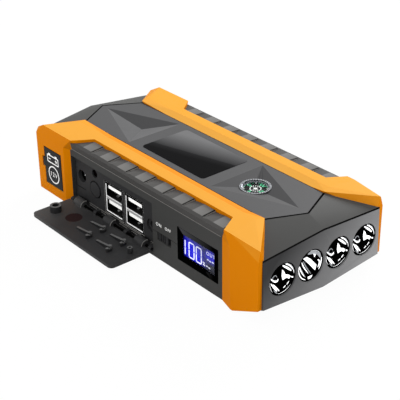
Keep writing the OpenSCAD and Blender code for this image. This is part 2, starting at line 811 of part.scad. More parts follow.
module pilot_lamp() {
    color("#5a1a18") {
        rod_y(button_x, bay_y + 0.8, bay_back, pilot_z, pilot_r - 0.05);
        rod_y(button_x, bay_back, board_y, pilot_z, 1.4);
    }
}

// Display and switch --------------------------------------------------

module lcd_bezel() {
    iw = lcd_w / 2 - lcd_border;
    ih = lcd_h / 2 - lcd_border;
    color(black) translate([lcd_x, 0, lcd_z]) difference() {
        span([-lcd_w / 2 + 0.1, side_y - 0.2, -lcd_h / 2 + 0.1],
            [lcd_w / 2 - 0.1, side_y + wall + 1.5, lcd_h / 2 - 0.1]);
        span([-iw, side_y - 1, -ih], [iw, side_y + 6, ih]);
        span([-iw - 1.2, side_y + 0.4, -ih - 1.2], [iw + 1.2, side_y + 1.4, ih + 1.2]);
    }
}

// Clear sheet that snaps into the slot of the frame
module lcd_window() {
    iw = lcd_w / 2 - lcd_border + 1.1;
    ih = lcd_h / 2 - lcd_border + 1.1;
    color([0.7, 0.8, 0.9, 0.35]) translate([lcd_x, 0, lcd_z])
        span([-iw, side_y + 0.5, -ih], [iw, side_y + 1.3, ih]);
}

// Its face stands just behind the window, inside the frame's opening
module lcd_module() {
    iw = lcd_w / 2 - lcd_border;
    ih = lcd_h / 2 - lcd_border;
    color("#2638a8") translate([lcd_x, 0, lcd_z]) {
        span([-iw + 0.1, side_y + 1.5, -ih + 0.1], [iw - 0.1, side_y + wall + 1.5 + eps, ih - 0.1]);
        span([-iw - 1.6, side_y + wall + 1.5, -ih - 1.6], [iw + 1.6, board_y, ih + 1.6]);
    }
}

module switch_body() {
    color(black) translate([switch_x, 0, switch_z]) difference() {
        span([-switch_w / 2 - 1, side_y + wall, -switch_h / 2 - 1.2],
            [switch_w / 2 + 1, board_y, switch_h / 2 + 1.2]);
        span([-switch_w / 2 + 0.6, side_y, -1.2], [switch_w / 2 - 0.6, side_y + wall + 3, 1.2]);
    }
}

knob_w = switch_w - switch_travel - 2 * move_gap;
module switch_knob() {
    x0 = switch_x - switch_w / 2 + move_gap;
    color(black) {
        difference() {
            span([x0, side_y + 0.3, switch_z - switch_h / 2 + move_gap],
                [x0 + knob_w, side_y + wall - move_gap, switch_z + switch_h / 2 - move_gap]);
            for (i = [-1, 0, 1])
                span([x0 + knob_w / 2 + i * 1.4 - 0.3, side_y, switch_z - 3],
                    [x0 + knob_w / 2 + i * 1.4 + 0.3, side_y + 0.7, switch_z + 3]);
        }
        span([x0 + 1.2, side_y + wall - move_gap - eps, switch_z - 0.8],
            [x0 + knob_w - 1.2, side_y + wall + 2, switch_z + 0.8]);
    }
}

// Compass -------------------------------------------------------------

compass_z = body_h - compass_sink - compass_h;
module at_compass() {
    translate([compass_x, 0, compass_z]) children();
}

module compass_housing() {
    color("#b8babd") at_compass() difference() {
        union() {
            cylinder(h = compass_h, r = compass_r - 0.8);
            translate([0, 0, compass_h + compass_sink - top_panel_t])
                cylinder(h = top_panel_t - compass_sink, r = compass_r - 0.05);
        }
        translate([0, 0, 1]) cylinder(h = compass_h, r = compass_r - 1.8);
        translate([0, 0, compass_h - 1]) cylinder(h = 2, r = compass_r - 1);
    }
}

module compass_pivot() {
    color("silver") at_compass() {
        translate([0, 0, 1]) cylinder(h = 2.2, r = 0.5);
        translate([0, 0, 1]) cylinder(h = 0.5, r = 1.6);
    }
}

module compass_card() {
    color("#183022") at_compass() difference() {
        union() {
            translate([0, 0, 3.2]) cylinder(h = 0.6, r = compass_r - 2.4);
            translate([0, 0, 2]) cylinder(h = 1.5, r = 1.3);
        }
        translate([0, 0, 1]) cylinder(h = 2.3, r = 0.5 + pin_gap);
    }
}

module compass_lens() {
    color([0.9, 0.95, 1, 0.35]) at_compass()
        translate([0, 0, compass_h - 1]) cylinder(h = 0.9, r = compass_r - 1.05);
}

// Lamps ---------------------------------------------------------------

module at_lamps() {
    for (y = lamp_places) translate([lamp_back, y, lamp_z]) rotate([0, 90, 0]) children();
}

// Dished reflector, open towards the lens
module led_reflectors() {
    depth = lamp_depth + cap_t - lens_in - 1;
    color("silver") at_lamps() rotate_extrude()
        polygon(concat(
            [[1.8, 0], [lamp_r - 0.1, 0], [lamp_r - 0.1, depth]],
            [for (t = [1:-0.1:0]) [2.6 + (lamp_r - 3.5) * sqrt(t), 0.8 + (depth - 0.8) * t]],
            [[1.8, 0.8]]));
}

module led_emitters() {
    color("khaki") at_lamps() {
        cylinder(h = 1.2, r = 1.7);
        translate([0, 0, 1.2 - eps]) cylinder(h = 0.6, r = 1.1);
    }
}

module led_lenses() {
    color([0.9, 0.95, 1, 0.35]) at_lamps()
        translate([0, 0, lamp_depth + cap_t - lens_in - 1]) cylinder(h = 1, r = lamp_r - 0.1);
}

module led_board() {
    color("darkgreen") span([lamp_back - board_t, -half_w + wall + 0.5, keel_h + wall + 0.1],
        [lamp_back, half_w - wall - 0.5, lamp_z + lamp_r]);
}

// Start socket --------------------------------------------------------

start_x = -half_l + start_in;
start_wall = 1.5;
cover_x0 = start_x - cover_w / 2;
cover_x1 = start_x + cover_w / 2;
cover_z0 = start_z - cover_h / 2;
cover_z1 = start_z + cover_h / 2;
cover_y = -leg_y;
cover_axis_x = cover_x1 - cover_t / 2;
cover_axis_y = cover_y + cover_t / 2;

// Opening in the near rear leg for the cover, its finger notch and its hinge
module cover_space() {
    span([cover_x0 - move_gap, cover_y - 1, cover_z0 - move_gap],
        [cover_x1 + move_gap, side_y + eps, cover_z1 + move_gap]);
    span([cover_x0 - 2.4, cover_y - 1, start_z - 1.5], [cover_x0, cover_y + 1.2, start_z + 4.5]);
    translate([cover_axis_x, cover_axis_y, cover_z0 - 1.6])
        cylinder(h = cover_h + 3.2, r = hinge_pin_r + 0.02);
}

module start_cover() {
    color(black) difference() {
        union() {
            span([cover_x0, cover_y, cover_z0], [cover_axis_x, cover_y + cover_t, cover_z1]);
            translate([cover_axis_x, cover_axis_y, cover_z0]) cylinder(h = cover_h, r = cover_t / 2);
            span([cover_x0 - 1.6, cover_y, start_z - 0.9], [cover_x0 + eps, cover_y + 0.8, start_z + 3.9]);
        }
        translate([cover_axis_x, cover_axis_y, cover_z0 - 1])
            cylinder(h = cover_h + 2, r = hinge_pin_r + pin_gap);
    }
}

module cover_hinge_pin() {
    color("silver") translate([cover_axis_x, cover_axis_y, cover_z0 - 1.5])
        cylinder(h = cover_h + 3, r = hinge_pin_r);
}

module start_socket() {
    back = side_y + start_depth + 2;
    color("#2a4f9a") difference() {
        span([start_x - start_w / 2 - start_wall, side_y, start_z - start_h / 2 - start_wall],
            [start_x + start_w / 2 + start_wall, back, start_z + start_h / 2 + start_wall]);
        span([start_x - start_w / 2, side_y - 1, start_z - start_h / 2],
            [start_x + start_w / 2, side_y + start_depth, start_z + start_h / 2]);
        for (k = [-1, 1]) rod_y(start_x, back - 4, back + 1, start_z + k * contact_pitch / 2, contact_r);
    }
}

module start_contacts() {
    color("gold") for (k = [-1, 1]) translate([0, 0, start_z + k * contact_pitch / 2])
        rod_y(start_x, side_y + 2, side_y + start_depth + 5, 0, contact_r - 0.02);
}

// Inside --------------------------------------------------------------

tray_floor = wall + 0.1;
tray_t = 1.2;
cell_z0 = tray_floor + tray_t;

module battery_tray() {
    color("dimgray") difference() {
        span([cell_x0 - 0.2 - tray_wall, cell_y0 - 0.2 - tray_wall, tray_floor - 0.1],
            [cell_x0 + cell_len + 0.2 + tray_wall, cell_y0 + cell_w + 0.2 + tray_wall, tray_floor + tray_h]);
        span([cell_x0 - 0.2, cell_y0 - 0.2, cell_z0],
            [cell_x0 + cell_len + 0.2, cell_y0 + cell_w + 0.2, tray_floor + tray_h + 1]);
    }
}

module battery_cells() {
    color("lightsteelblue") for (i = [0:cell_count - 1])
        span([cell_x0, cell_y0, cell_z0 + i * cell_t + 0.05],
            [cell_x0 + cell_len, cell_y0 + cell_w, cell_z0 + (i + 1) * cell_t]);
}

// Two straps that hold the stack of cells down
module cell_straps() {
    strap_z = cell_z0 + cell_count * cell_t;
    color(black) for (x = [cell_x0 + 22, cell_x0 + cell_len - 22]) translate([x, 0, 0])
        span([-5, cell_y0 - tray_wall, strap_z + 0.1], [5, cell_y0 + cell_w + tray_wall, strap_z + 0.9]);
}

module main_board() {
    color("darkgreen") difference() {
        span([bay_x0 + 1, board_y, wall + 1.2], [front_leg_x - 8, board_y + board_t, side_h - 3]);
        for (x = [bay_x0 + 5, front_leg_x - 12]) rod_y(x, board_y - 1, board_y + 3, side_h - 6, 1.6);
    }
}

module board_parts() {
    color("dimgray") for (i = [-2.5:1:2.5]) translate([i * part_pitch, board_y + board_t, 8])
        cube([part_len, 1.5, part_h]);
}

relay_x = -half_l + rear_sweep + cap_t + 1.4;
module start_relay() {
    color(black) span([relay_x, 2, wall], [relay_x + relay_len, 2 + relay_w, wall + relay_h]);
}

module bus_bars() {
    back = side_y + start_depth + 5;
    color("peru") for (k = [0, 1])
        span([start_x - 3, back, start_z + (k - 0.5) * contact_pitch - 2],
            [start_x + 3, back + 1.2 + k * 3, start_z + (k - 0.5) * contact_pitch + 2]);
}

module case_screws() {
    color("silver") at_screws() {
        translate([0, 0, 3.4]) cylinder(h = 1.6, r = head_r);
        translate([0, 0, 5 - eps]) cylinder(h = screw_len, r = screw_r - 0.02);
    }
}

lower_shell();
upper_shell();
top_panel();
front_end_cap();
rear_end_cap();
near_frame();
far_frame();
near_grip();
far_grip();
label_plate();
port_panel();
port_door();
door_pads();
door_button_pad();
door_hinge_pin();
usb_shells();
usb_tongues();
dc_input_jack();
output_jack();
power_button();
button_switch();
pilot_lamp();
lcd_bezel();
lcd_window();
lcd_module();
switch_body();
switch_knob();
compass_housing();
compass_card();
compass_pivot();
compass_lens();
led_reflectors();
led_emitters();
led_lenses();
led_board();
start_socket();
start_contacts();
start_cover();
cover_hinge_pin();
battery_cells();
battery_tray();
cell_straps();
main_board();
board_parts();
start_relay();
bus_bars();
case_screws();
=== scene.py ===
"""Looks of the portable jump starter pack: camera, light, materials and small details
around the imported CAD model. Lengths are in metres. MM turns a size in millimetres into metres."""

import math

import bmesh
import bpy
from mathutils import Matrix, Vector


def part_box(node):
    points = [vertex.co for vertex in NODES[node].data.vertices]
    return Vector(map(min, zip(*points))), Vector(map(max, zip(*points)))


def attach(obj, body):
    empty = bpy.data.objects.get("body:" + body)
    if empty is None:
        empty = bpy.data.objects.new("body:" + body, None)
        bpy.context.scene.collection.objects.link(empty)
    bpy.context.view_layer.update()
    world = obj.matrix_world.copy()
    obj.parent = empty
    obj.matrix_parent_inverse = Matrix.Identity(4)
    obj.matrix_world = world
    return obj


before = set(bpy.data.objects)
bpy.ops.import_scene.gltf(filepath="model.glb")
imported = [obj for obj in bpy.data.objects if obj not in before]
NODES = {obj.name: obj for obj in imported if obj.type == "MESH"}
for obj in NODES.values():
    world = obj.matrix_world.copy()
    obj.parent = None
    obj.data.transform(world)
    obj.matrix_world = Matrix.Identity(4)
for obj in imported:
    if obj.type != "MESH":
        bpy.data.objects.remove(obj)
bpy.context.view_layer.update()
MM = 0.001

# ---------------------------------------------------------------- camera

# The camera's axes and place in the CAD frame, with its sensor and lens in millimetres
RIGHT = Vector((0.640529, 0.767874, -0.009588))
UP = Vector((-0.361276, 0.312332, 0.878594))
BACK = Vector((0.677645, -0.559301, 0.477472))
CAMERA_AT = Vector((0.366617, -0.299331, 0.269385))
SENSOR, LENS = 36, 98.128
camera = bpy.data.objects.new("camera", bpy.data.cameras.new("camera"))
bpy.context.scene.collection.objects.link(camera)
camera.matrix_world = Matrix(
    [(RIGHT[i], UP[i], BACK[i], CAMERA_AT[i]) for i in range(3)] + [(0, 0, 0, 1)]
)
camera.data.sensor_width = SENSOR
camera.data.lens = LENS
camera.data.clip_start = 10 * MM
bpy.context.scene.camera = camera
bpy.context.scene.view_settings.view_transform = "Standard"

# ---------------------------------------------------------------- materials

MOTTLE = 90  # slow change of tone across a piece, in features per metre
GRAIN = 2600  # fine grain of a moulded surface, in features per metre
GRAIN_DEPTH, STREAK_DEPTH = 0.05 * MM, 0.02 * MM
# The painted reflection on the display starts along a slanted line. These are the line's normal
# and the two distances from the origin between which the painted reflection fades in.
PAINTED_REFLECTION_NORMAL, PAINTED_REFLECTION_SPAN = (0.61, 0, 0.79), (38.4 * MM, 39.0 * MM)
GRIP_SPAN, GRIP_PADS = (-48.9 * MM, 63.5 * MM), 8  # the pads of a grip along X


def rgb(code):
    """Linear colour of an sRGB code such as "3a3a3a"."""
    parts = [int(code[i : i + 2], 16) / 255 for i in (0, 2, 4)]
    return tuple(c / 12.92 if c <= 0.04045 else ((c + 0.055) / 1.055) ** 2.4 for c in parts)


def shade(colour, factor):
    """Colour made lighter or darker by a factor."""
    return tuple(min(1, c * factor) for c in colour)


def new_material(name):
    """Material, its node tree and its Principled shader."""
    material = bpy.data.materials.new(name)
    material.use_nodes = True
    tree = material.node_tree
    tree.nodes.clear()
    output = tree.nodes.new("ShaderNodeOutputMaterial")
    bsdf = tree.nodes.new("ShaderNodeBsdfPrincipled")
    tree.links.new(bsdf.outputs[0], output.inputs[0])
    return material, tree, bsdf


def maths(tree, operation, *values):
    """One Math node on sockets or numbers."""
    node = tree.nodes.new("ShaderNodeMath")
    node.operation = operation
    for socket, value in zip(node.inputs, values):
        if isinstance(value, (int, float)):
            socket.default_value = value
        else:
            tree.links.new(value, socket)
    return node.outputs[0]


def noise(tree, scale, detail, coordinates=None):
    """Noise in the object's own coordinates, in features per metre."""
    if coordinates is None:
        coordinates = tree.nodes.new("ShaderNodeTexCoord").outputs["Object"]
    node = tree.nodes.new("ShaderNodeTexNoise")
    node.inputs["Scale"].default_value = scale
    node.inputs["Detail"].default_value = detail
    tree.links.new(coordinates, node.inputs["Vector"])
    return node.outputs["Fac"]


def ramp(tree, value, stops):
    """Colour ramp through (position, linear colour) stops."""
    node = tree.nodes.new("ShaderNodeValToRGB")
    elements = node.color_ramp.elements
    elements[0].position, elements[-1].position = stops[0][0], stops[-1][0]
    for place, colour in stops[1:-1]:
        elements.new(place)
    for element, (place, colour) in zip(elements, stops):
        element.color = (*colour, 1)
    tree.links.new(value, node.inputs["Fac"])
    return node.outputs["Color"]


def coded(stops):
    """Stops with their sRGB codes turned into linear colours."""
    return [(place, rgb(code)) for place, code in stops]


def mottled(tree, tone, low, high):
    """Colour from low to high over the middle of a noise, where most of its values lie."""
    return ramp(tree, tone, [(0.3, low), (0.7, high)])


def spread(tree, value, low, high):
    """Value from 0 to 1 mapped to low..high."""
    node = tree.nodes.new("ShaderNodeMapRange")
    node.inputs["To Min"].default_value = low
    node.inputs["To Max"].default_value = high
    tree.links.new(value, node.inputs["Value"])
    return node.outputs["Result"]


def along(tree, direction, span, of="Object"):
    """0 to 1 as the object's own coordinates, or its normal, run through span along direction."""
    source = tree.nodes.new("ShaderNodeTexCoord")
    dot = tree.nodes.new("ShaderNodeVectorMath")
    dot.operation = "DOT_PRODUCT"
    dot.inputs[1].default_value = direction
    tree.links.new(source.outputs[of], dot.inputs[0])
    node = tree.nodes.new("ShaderNodeMapRange")
    node.inputs["From Min"].default_value, node.inputs["From Max"].default_value = span
    tree.links.new(dot.outputs["Value"], node.inputs["Value"])
    return node.outputs["Result"]


def add_bump(tree, bsdf, height, distance, strength):
    """Relief from a texture."""
    node = tree.nodes.new("ShaderNodeBump")
    node.inputs["Distance"].default_value = distance
    node.inputs["Strength"].default_value = strength
    tree.links.new(height, node.inputs["Height"])
    tree.links.new(node.outputs["Normal"], bsdf.inputs["Normal"])


def add_grain(tree, bsdf, rough, grain, bump):
    """Fine moulded grain in the roughness and in the relief."""
    texture = noise(tree, grain, 2)
    tree.links.new(spread(tree, texture, rough - 0.08, rough + 0.08), bsdf.inputs["Roughness"])
    add_bump(tree, bsdf, texture, GRAIN_DEPTH, bump)


def plastic(name, code, rough=0.5, grain=GRAIN, bump=0.25, mottle=0.06, specular=0.4, ior=1.5):
    """Moulded plastic: fine grain in the surface and a faint change of tone."""
    material, tree, bsdf = new_material(name)
    low, high = shade(rgb(code), 1 - mottle), shade(rgb(code), 1 + mottle)
    tree.links.new(mottled(tree, noise(tree, MOTTLE, 4), low, high), bsdf.inputs["Base Color"])
    add_grain(tree, bsdf, rough, grain, bump)
    bsdf.inputs["Specular IOR Level"].default_value = specular
    bsdf.inputs["IOR"].default_value = ior
    return material


def painted_light_plastic(name, stops, direction, span, rough=0.5, specular=0.1, of="Object",
                   grain=GRAIN, sheen=(1, 1, 1), ior=1.5):
    """Plastic with painted light and shade: its tone changes across the piece, or with the way that
    a face points.
    """
    material, tree, bsdf = new_material(name)
    blend = maths(tree, "ADD", along(tree, direction, span, of),
                  spread(tree, noise(tree, MOTTLE, 4), -0.03, 0.03))
    tree.links.new(ramp(tree, blend, coded(stops)), bsdf.inputs["Base Color"])
    add_grain(tree, bsdf, rough, grain, 0.2)
    bsdf.inputs["Specular IOR Level"].default_value = specular
    bsdf.inputs["Specular Tint"].default_value = (*sheen, 1)
    bsdf.inputs["IOR"].default_value = ior
    return material


def metal(name, code, rough=0.25, brushed=900, streak=(1, 1, 1)):
    """Plated or brushed metal with fine streaks along one axis."""
    material, tree, bsdf = new_material(name)
    place = tree.nodes.new("ShaderNodeMapping")
    place.inputs["Scale"].default_value = streak
    source = tree.nodes.new("ShaderNodeTexCoord")
    tree.links.new(source.outputs["Object"], place.inputs["Vector"])
    texture = noise(tree, brushed, 4, place.outputs["Vector"])
    low, high = shade(rgb(code), 0.86), shade(rgb(code), 1.05)
    tree.links.new(mottled(tree, texture, low, high), bsdf.inputs["Base Color"])
    tree.links.new(spread(tree, texture, rough * 0.7, rough * 1.3), bsdf.inputs["Roughness"])
    add_bump(tree, bsdf, texture, STREAK_DEPTH, 0.2)
    bsdf.inputs["Metallic"].default_value = 1
    return material


def glow(name, code, strength, wobble=0.08):
    """Lit segment, or a print, edge or facet that glows with painted light so that it stays bright
    in shade.
    """
    material, tree, bsdf = new_material(name)
    colours = mottled(tree, noise(tree, 600, 2), shade(rgb(code), 1 - wobble), rgb(code))
    tree.links.new(colours, bsdf.inputs["Base Color"])
    tree.links.new(colours, bsdf.inputs["Emission Color"])
    bsdf.inputs["Emission Strength"].default_value = strength
    bsdf.inputs["Roughness"].default_value = 0.5
    return material


def clear(name, code, see_through, rough):
    """Thin clear sheet. see_through is its open share below and above the line of a painted
    reflection.
    """
    material, tree, bsdf = new_material(name)
    output = next(n for n in tree.nodes if n.type == "OUTPUT_MATERIAL")
    tone = noise(tree, 400, 2)
    tint = rgb(code)
    tree.links.new(mottled(tree, tone, shade(tint, 0.9), tint), bsdf.inputs["Base Color"])
    tree.links.new(spread(tree, tone, rough * 0.6, rough * 1.6), bsdf.inputs["Roughness"])
    bsdf.inputs["Specular IOR Level"].default_value = 0.3
    opening = tree.nodes.new("ShaderNodeBsdfTransparent")
    mix = tree.nodes.new("ShaderNodeMixShader")
    low, high = see_through
    reflection_veil = spread(tree, along(tree, PAINTED_REFLECTION_NORMAL, PAINTED_REFLECTION_SPAN), 1 - low, 1 - high)
    tree.links.new(reflection_veil, mix.inputs["Fac"])
    tree.links.new(opening.outputs[0], mix.inputs[1])
    tree.links.new(bsdf.outputs[0], mix.inputs[2])
    tree.links.new(mix.outputs[0], output.inputs[0])
    return material


def grip_material():
    """Rubber with painted shade on the ramp, a lighter pad and a painted shadow as a black slit in
    each repeat.
    """
    material, tree, bsdf = new_material("grip_rubber")
    part = maths(
        tree, "FRACT", maths(tree, "MULTIPLY", along(tree, (1, 0, 0), GRIP_SPAN), GRIP_PADS)
    )
    colours = ramp(tree, part, coded((
        (0.0, "4e4d4c"), (0.44, "4e4d4c"), (0.46, "6e6d6c"), (0.93, "656462"), (0.94, "0a0a0a"),
    )))
    # Painted shade on faces that lean away from the top, and a painted highlight on steps that face
    # +X
    for direction, span, code in (
        ((0, 0, -1), (-0.97, -0.94), "454443"),
        ((1, 0, 0), (0.4, 0.7), "8a8886"),
    ):
        mix = tree.nodes.new("ShaderNodeMix")
        mix.data_type = "RGBA"
        tree.links.new(along(tree, direction, span, of="Normal"), mix.inputs["Factor"])
        tree.links.new(colours, mix.inputs["A"])
        mix.inputs["B"].default_value = (*rgb(code), 1)
        colours = mix.outputs["Result"]
    tree.links.new(colours, bsdf.inputs["Base Color"])
    add_grain(tree, bsdf, 0.7, 2000, 0.4)
    bsdf.inputs["Specular IOR Level"].default_value = 0.08
    return material


def bezel_material():
    """Black border of the display, with a painted reflection in its upper left corner."""
    material, tree, bsdf = new_material("bezel_black")
    reflection_mask = maths(tree, "MULTIPLY", along(tree, PAINTED_REFLECTION_NORMAL, PAINTED_REFLECTION_SPAN),
                  along(tree, (-1, 0, 0), (-56 * MM, -34 * MM)))
    colours = ramp(tree, reflection_mask, coded(((0.0, "020202"), (1.0, "414142"))))
    tree.links.new(colours, bsdf.inputs["Base Color"])
    texture = noise(tree, GRAIN, 2)
    tree.links.new(spread(tree, texture, 0.25, 0.4), bsdf.inputs["Roughness"])
    bsdf.inputs["Specular IOR Level"].default_value = 0.01
    bsdf.inputs["IOR"].default_value = 1.05
    return material


def plated_shell():
    """Bright plating at the mouths of the charging sockets, and shade inside them."""
    material, tree, bsdf = new_material("shell_metal")
    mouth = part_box("usb_shells")[0].y
    bright_to, dark_from = mouth + 0.25 * MM, mouth + 0.35 * MM
    depth = along(tree, (0, 1, 0), (bright_to, dark_from))
    colours = ramp(tree, depth, coded(((0.0, "eceded"), (1.0, "070707"))))
    tree.links.new(colours, bsdf.inputs["Base Color"])
    tree.links.new(spread(tree, depth, 0.8, 0.0), bsdf.inputs["Metallic"])
    texture = noise(tree, 700, 3)
    tree.links.new(spread(tree, texture, 0.3, 0.5), bsdf.inputs["Roughness"])
    add_bump(tree, bsdf, texture, STREAK_DEPTH, 0.2)
    bsdf.inputs["Specular IOR Level"].default_value = 0.1
    return material


def screen_material():
    """Back-lit blue screen, brightest behind its digits and its upper right marks."""
    material, tree, bsdf = new_material("screen_blue")
    source = tree.nodes.new("ShaderNodeTexCoord")
    balls = []
    # Middle of each bright area and its reach along X and Z, in millimetres
    for x, z, reach_x, reach_z in ((39.8, 14.2, 12, 9.5), (52.3, 17, 6, 4.6)):
        place = tree.nodes.new("ShaderNodeMapping")
        place.inputs["Location"].default_value = (-x / reach_x, 0, -z / reach_z)
        place.inputs["Scale"].default_value = (1 / (reach_x * MM), 0, 1 / (reach_z * MM))
        tree.links.new(source.outputs["Object"], place.inputs["Vector"])
        ball = tree.nodes.new("ShaderNodeTexGradient")
        ball.gradient_type = "SPHERICAL"
        tree.links.new(place.outputs["Vector"], ball.inputs["Vector"])
        balls.append(ball.outputs["Fac"])
    stops = coded(((0.0, "181824"), (0.25, "101064"), (0.6, "1414b4")))
    colours = ramp(tree, maths(tree, "MAXIMUM", *balls), stops)
    tree.links.new(colours, bsdf.inputs["Base Color"])
    tree.links.new(colours, bsdf.inputs["Emission Color"])
    bsdf.inputs["Emission Strength"].default_value = 0.75
    bsdf.inputs["Roughness"].default_value = 0.4
    bsdf.inputs["Specular IOR Level"].default_value = 0.1
    return material


# Moulded pieces with painted light and shade: their tone follows the way their faces point, or
# their length
# Painted shade: faces of the shell that point sideways or down are darker than those that point up
shell_plastic = painted_light_plastic(
    "shell_plastic", ((0.03, "3b3b3a"), (0.97, "434342")), (0, 0, 1), (0.1, 0.8), 0.55, 0.08,
    of="Normal",
)
# Painted light and shade: the tone of each sloped face of the top, such as the facets of the star
# hollows, follows the way it leans
top_plastic = painted_light_plastic(
    "top_plastic",
    ((0.05, "373738"), (0.32, "3d3d3e"), (0.47, "4a4a4b"), (0.56, "4a4a4b"), (0.74, "5c5c5d"),
     (0.82, "4e4e4f"), (0.95, "484849")),
    (-0.6, 1, 0), (-0.2, 0.2), 0.55, 0.1, of="Normal",
)
# Painted light: the front end face is lighter towards +Y and towards its foot
cap_plastic = painted_light_plastic(
    "cap_plastic", ((0.03, "2c2c2d"), (0.97, "888889")), (0, 0.62, -0.78), (-41 * MM, 13 * MM)
)
# Painted light and shade: faces of the frames that point up are lighter, faces that point sideways
# darker
orange_plastic = painted_light_plastic(
    "orange_plastic",
    ((0.03, "bc6e00"), (0.3, "d07800"), (0.6, "d07a04"), (0.8, "d69432"), (0.97, "d99c42")),
    (0.25, -0.45, 0.86), (0.1, 1.0), 0.55, 0.1, of="Normal", grain=1800, sheen=(1, 0.45, 0),
    ior=1.25,
)
# Painted light: the door is lighter towards -X
door_plastic = painted_light_plastic(
    "door_plastic", ((0.03, "2e2e2f"), (0.97, "4c4b4a")), (-1, 0, 0), (34 * MM, 60 * MM), 0.5, 0.15
)
# Painted light: the tops of the plugs are lighter than their sides
plug_rubber = painted_light_plastic(
    "plug_rubber", ((0.1, "242425"), (0.9, "626262")), (0, 0, 1), (-0.1, 0.9), 0.4, 0.2,
    of="Normal",
)
# Painted reflection: the label turns from near black to pale grey towards +Y, with a step along a
# slanted line
label_gloss = painted_light_plastic(
    "label_gloss", ((0.04, "101011"), (0.24, "1e1e1f"), (0.27, "303031"), (0.97, "6a6a6b")),
    (-0.28, 0.96, 0), (-6 * MM, 15 * MM), 0.3, 0.03, ior=1.2,
)
# Moulded pieces of one tone
panel_plastic = plastic("panel_plastic", "2d2d2e", 0.55, specular=0.08)
knob_plastic = plastic("knob_plastic", "2c2c2d", 0.5, specular=0.08)
button_rubber = plastic("button_rubber", "231415", 0.7, specular=0.1)
black_plastic = plastic("black_plastic", "060606", 0.45, specular=0.02, ior=1.1)
cover_rubber = plastic("cover_rubber", "161819", 0.5, specular=0.12)
pilot_plastic = plastic("pilot_plastic", "040202", 0.3, specular=0.02, ior=1.1)
# Painted shade: dark lines laid over seams and gaps
gap_shade = plastic("gap_shade", "0e0e0e", 0.7, specular=0.03, ior=1.1)
# Painted highlight: light lines laid along edges
edge_highlight = plastic("edge_highlight", "74726f", 0.5, specular=0.1)
start_blue = plastic("start_blue", "2a4f9a", 0.45)
relay_plastic = plastic("relay_plastic", "202226", 0.5)
board_green = plastic("board_green", "1f5a34", 0.4, grain=900)
chip_black = plastic("chip_black", "2a2a2c", 0.5)
tray_plastic = plastic("tray_plastic", "55565a", 0.6)
strap_web = plastic("strap_web", "161616", 0.8, grain=1200, bump=0.8)
compass_dark = plastic("compass_dark", "070a08", 0.5, specular=0.05)
emitter_yellow = plastic("emitter_yellow", "cfc36a", 0.5)
mirror_dark = plastic(
    "mirror_dark", "020202", 0.3, grain=900, bump=0.1, mottle=0.5, specular=0.01, ior=1.05
)
# Metals
cell_foil = metal("cell_foil", "b9bec6", 0.35, 300)
plated = metal("plated", "f4f5f6", 0.35, 700, (1, 1, 6))
steel = metal("steel", "6d6f72", 0.4, 700, (1, 8, 8))
brass = metal("brass", "c8a24a", 0.3, 900)
copper = metal("copper", "b8703a", 0.35, 700, (8, 1, 1))
compass_metal = metal("compass_metal", "9fa1a5", 0.28, 1500)
# Prints, lit marks and bright edges. The screen's marks are lit from behind; all the others glow as
# painted light.
# Painted light: the white tongues glow so that they stay bright in the sockets' shade
tongue_plastic = glow("tongue_plastic", "f6f6f4", 0.4, 0.02)
# Painted highlight on edges
glowing_edge_highlight = glow("glowing_edge_highlight", "8c8a87", 0.12, 0.1)
# White print, with a faint glow of painted light
print_white = glow("print_white", "f2f2f0", 0.15, 0.03)
screen_white = glow("screen_white", "e8ebff", 0.6, 0.02)
# Painted highlight on the mouths of the sockets
rim_highlight = glow("rim_highlight", "f2f2f2", 0.35, 0.03)
# Print on the compass dial, with a glow of painted light
dial_green = glow("dial_green", "46b884", 0.35)
dial_white = glow("dial_white", "eef4ef", 0.3)
# Painted reflections in the lamps' mirrors
mirror_bright_reflection = glow("mirror_bright_reflection", "fbfcfd", 0.75, 0.05)
mirror_grey_reflection = glow("mirror_grey_reflection", "8f9296", 0.35, 0.35)
# Clear sheets and the materials that are made for one piece
window_clear = clear("window_clear", "5a5e6c", (0.98, 0.84), 0.03)
lens_clear = clear("lens_clear", "5a6064", (0.99, 0.99), 0.05)
grip_rubber = grip_material()
bezel_black = bezel_material()
shell_metal = plated_shell()
screen_blue = screen_material()

FINISH = {
    shell_plastic: "lower_shell upper_shell rear_end_cap",
    top_plastic: "top_panel",
    cap_plastic: "front_end_cap",
    orange_plastic: "near_frame far_frame",
    grip_rubber: "near_grip far_grip",
    panel_plastic: "port_panel power_button",
    door_plastic: "port_door",
    plug_rubber: "door_pads",
    button_rubber: "door_button_pad",
    steel: "cover_hinge_pin case_screws compass_pivot",
    shell_metal: "usb_shells",
    tongue_plastic: "usb_tongues",
    black_plastic: "dc_input_jack output_jack button_switch switch_body door_hinge_pin",
    knob_plastic: "switch_knob",
    pilot_plastic: "pilot_lamp",
    bezel_black: "lcd_bezel",
    window_clear: "lcd_window",
    screen_blue: "lcd_module",
    label_gloss: "label_plate",
    compass_metal: "compass_housing",
    compass_dark: "compass_card",
    lens_clear: "compass_lens led_lenses",
    emitter_yellow: "led_emitters",
    board_green: "led_board main_board",
    start_blue: "start_socket",
    brass: "start_contacts",
    cover_rubber: "start_cover",
    cell_foil: "battery_cells",
    tray_plastic: "battery_tray",
    strap_web: "cell_straps",
    chip_black: "board_parts",
    relay_plastic: "start_relay",
    copper: "bus_bars",
}
for material, names in FINISH.items():
    for name in names.split():
        node = NODES[name]
        node.data.materials.clear()
        node.data.materials.append(material)

# ---------------------------------------------------------------- edges of the CAD nodes

WELD_DISTANCE = 0.002 * MM
SHARP_ANGLE, CREASE_ANGLE = math.radians(22), math.radians(13)


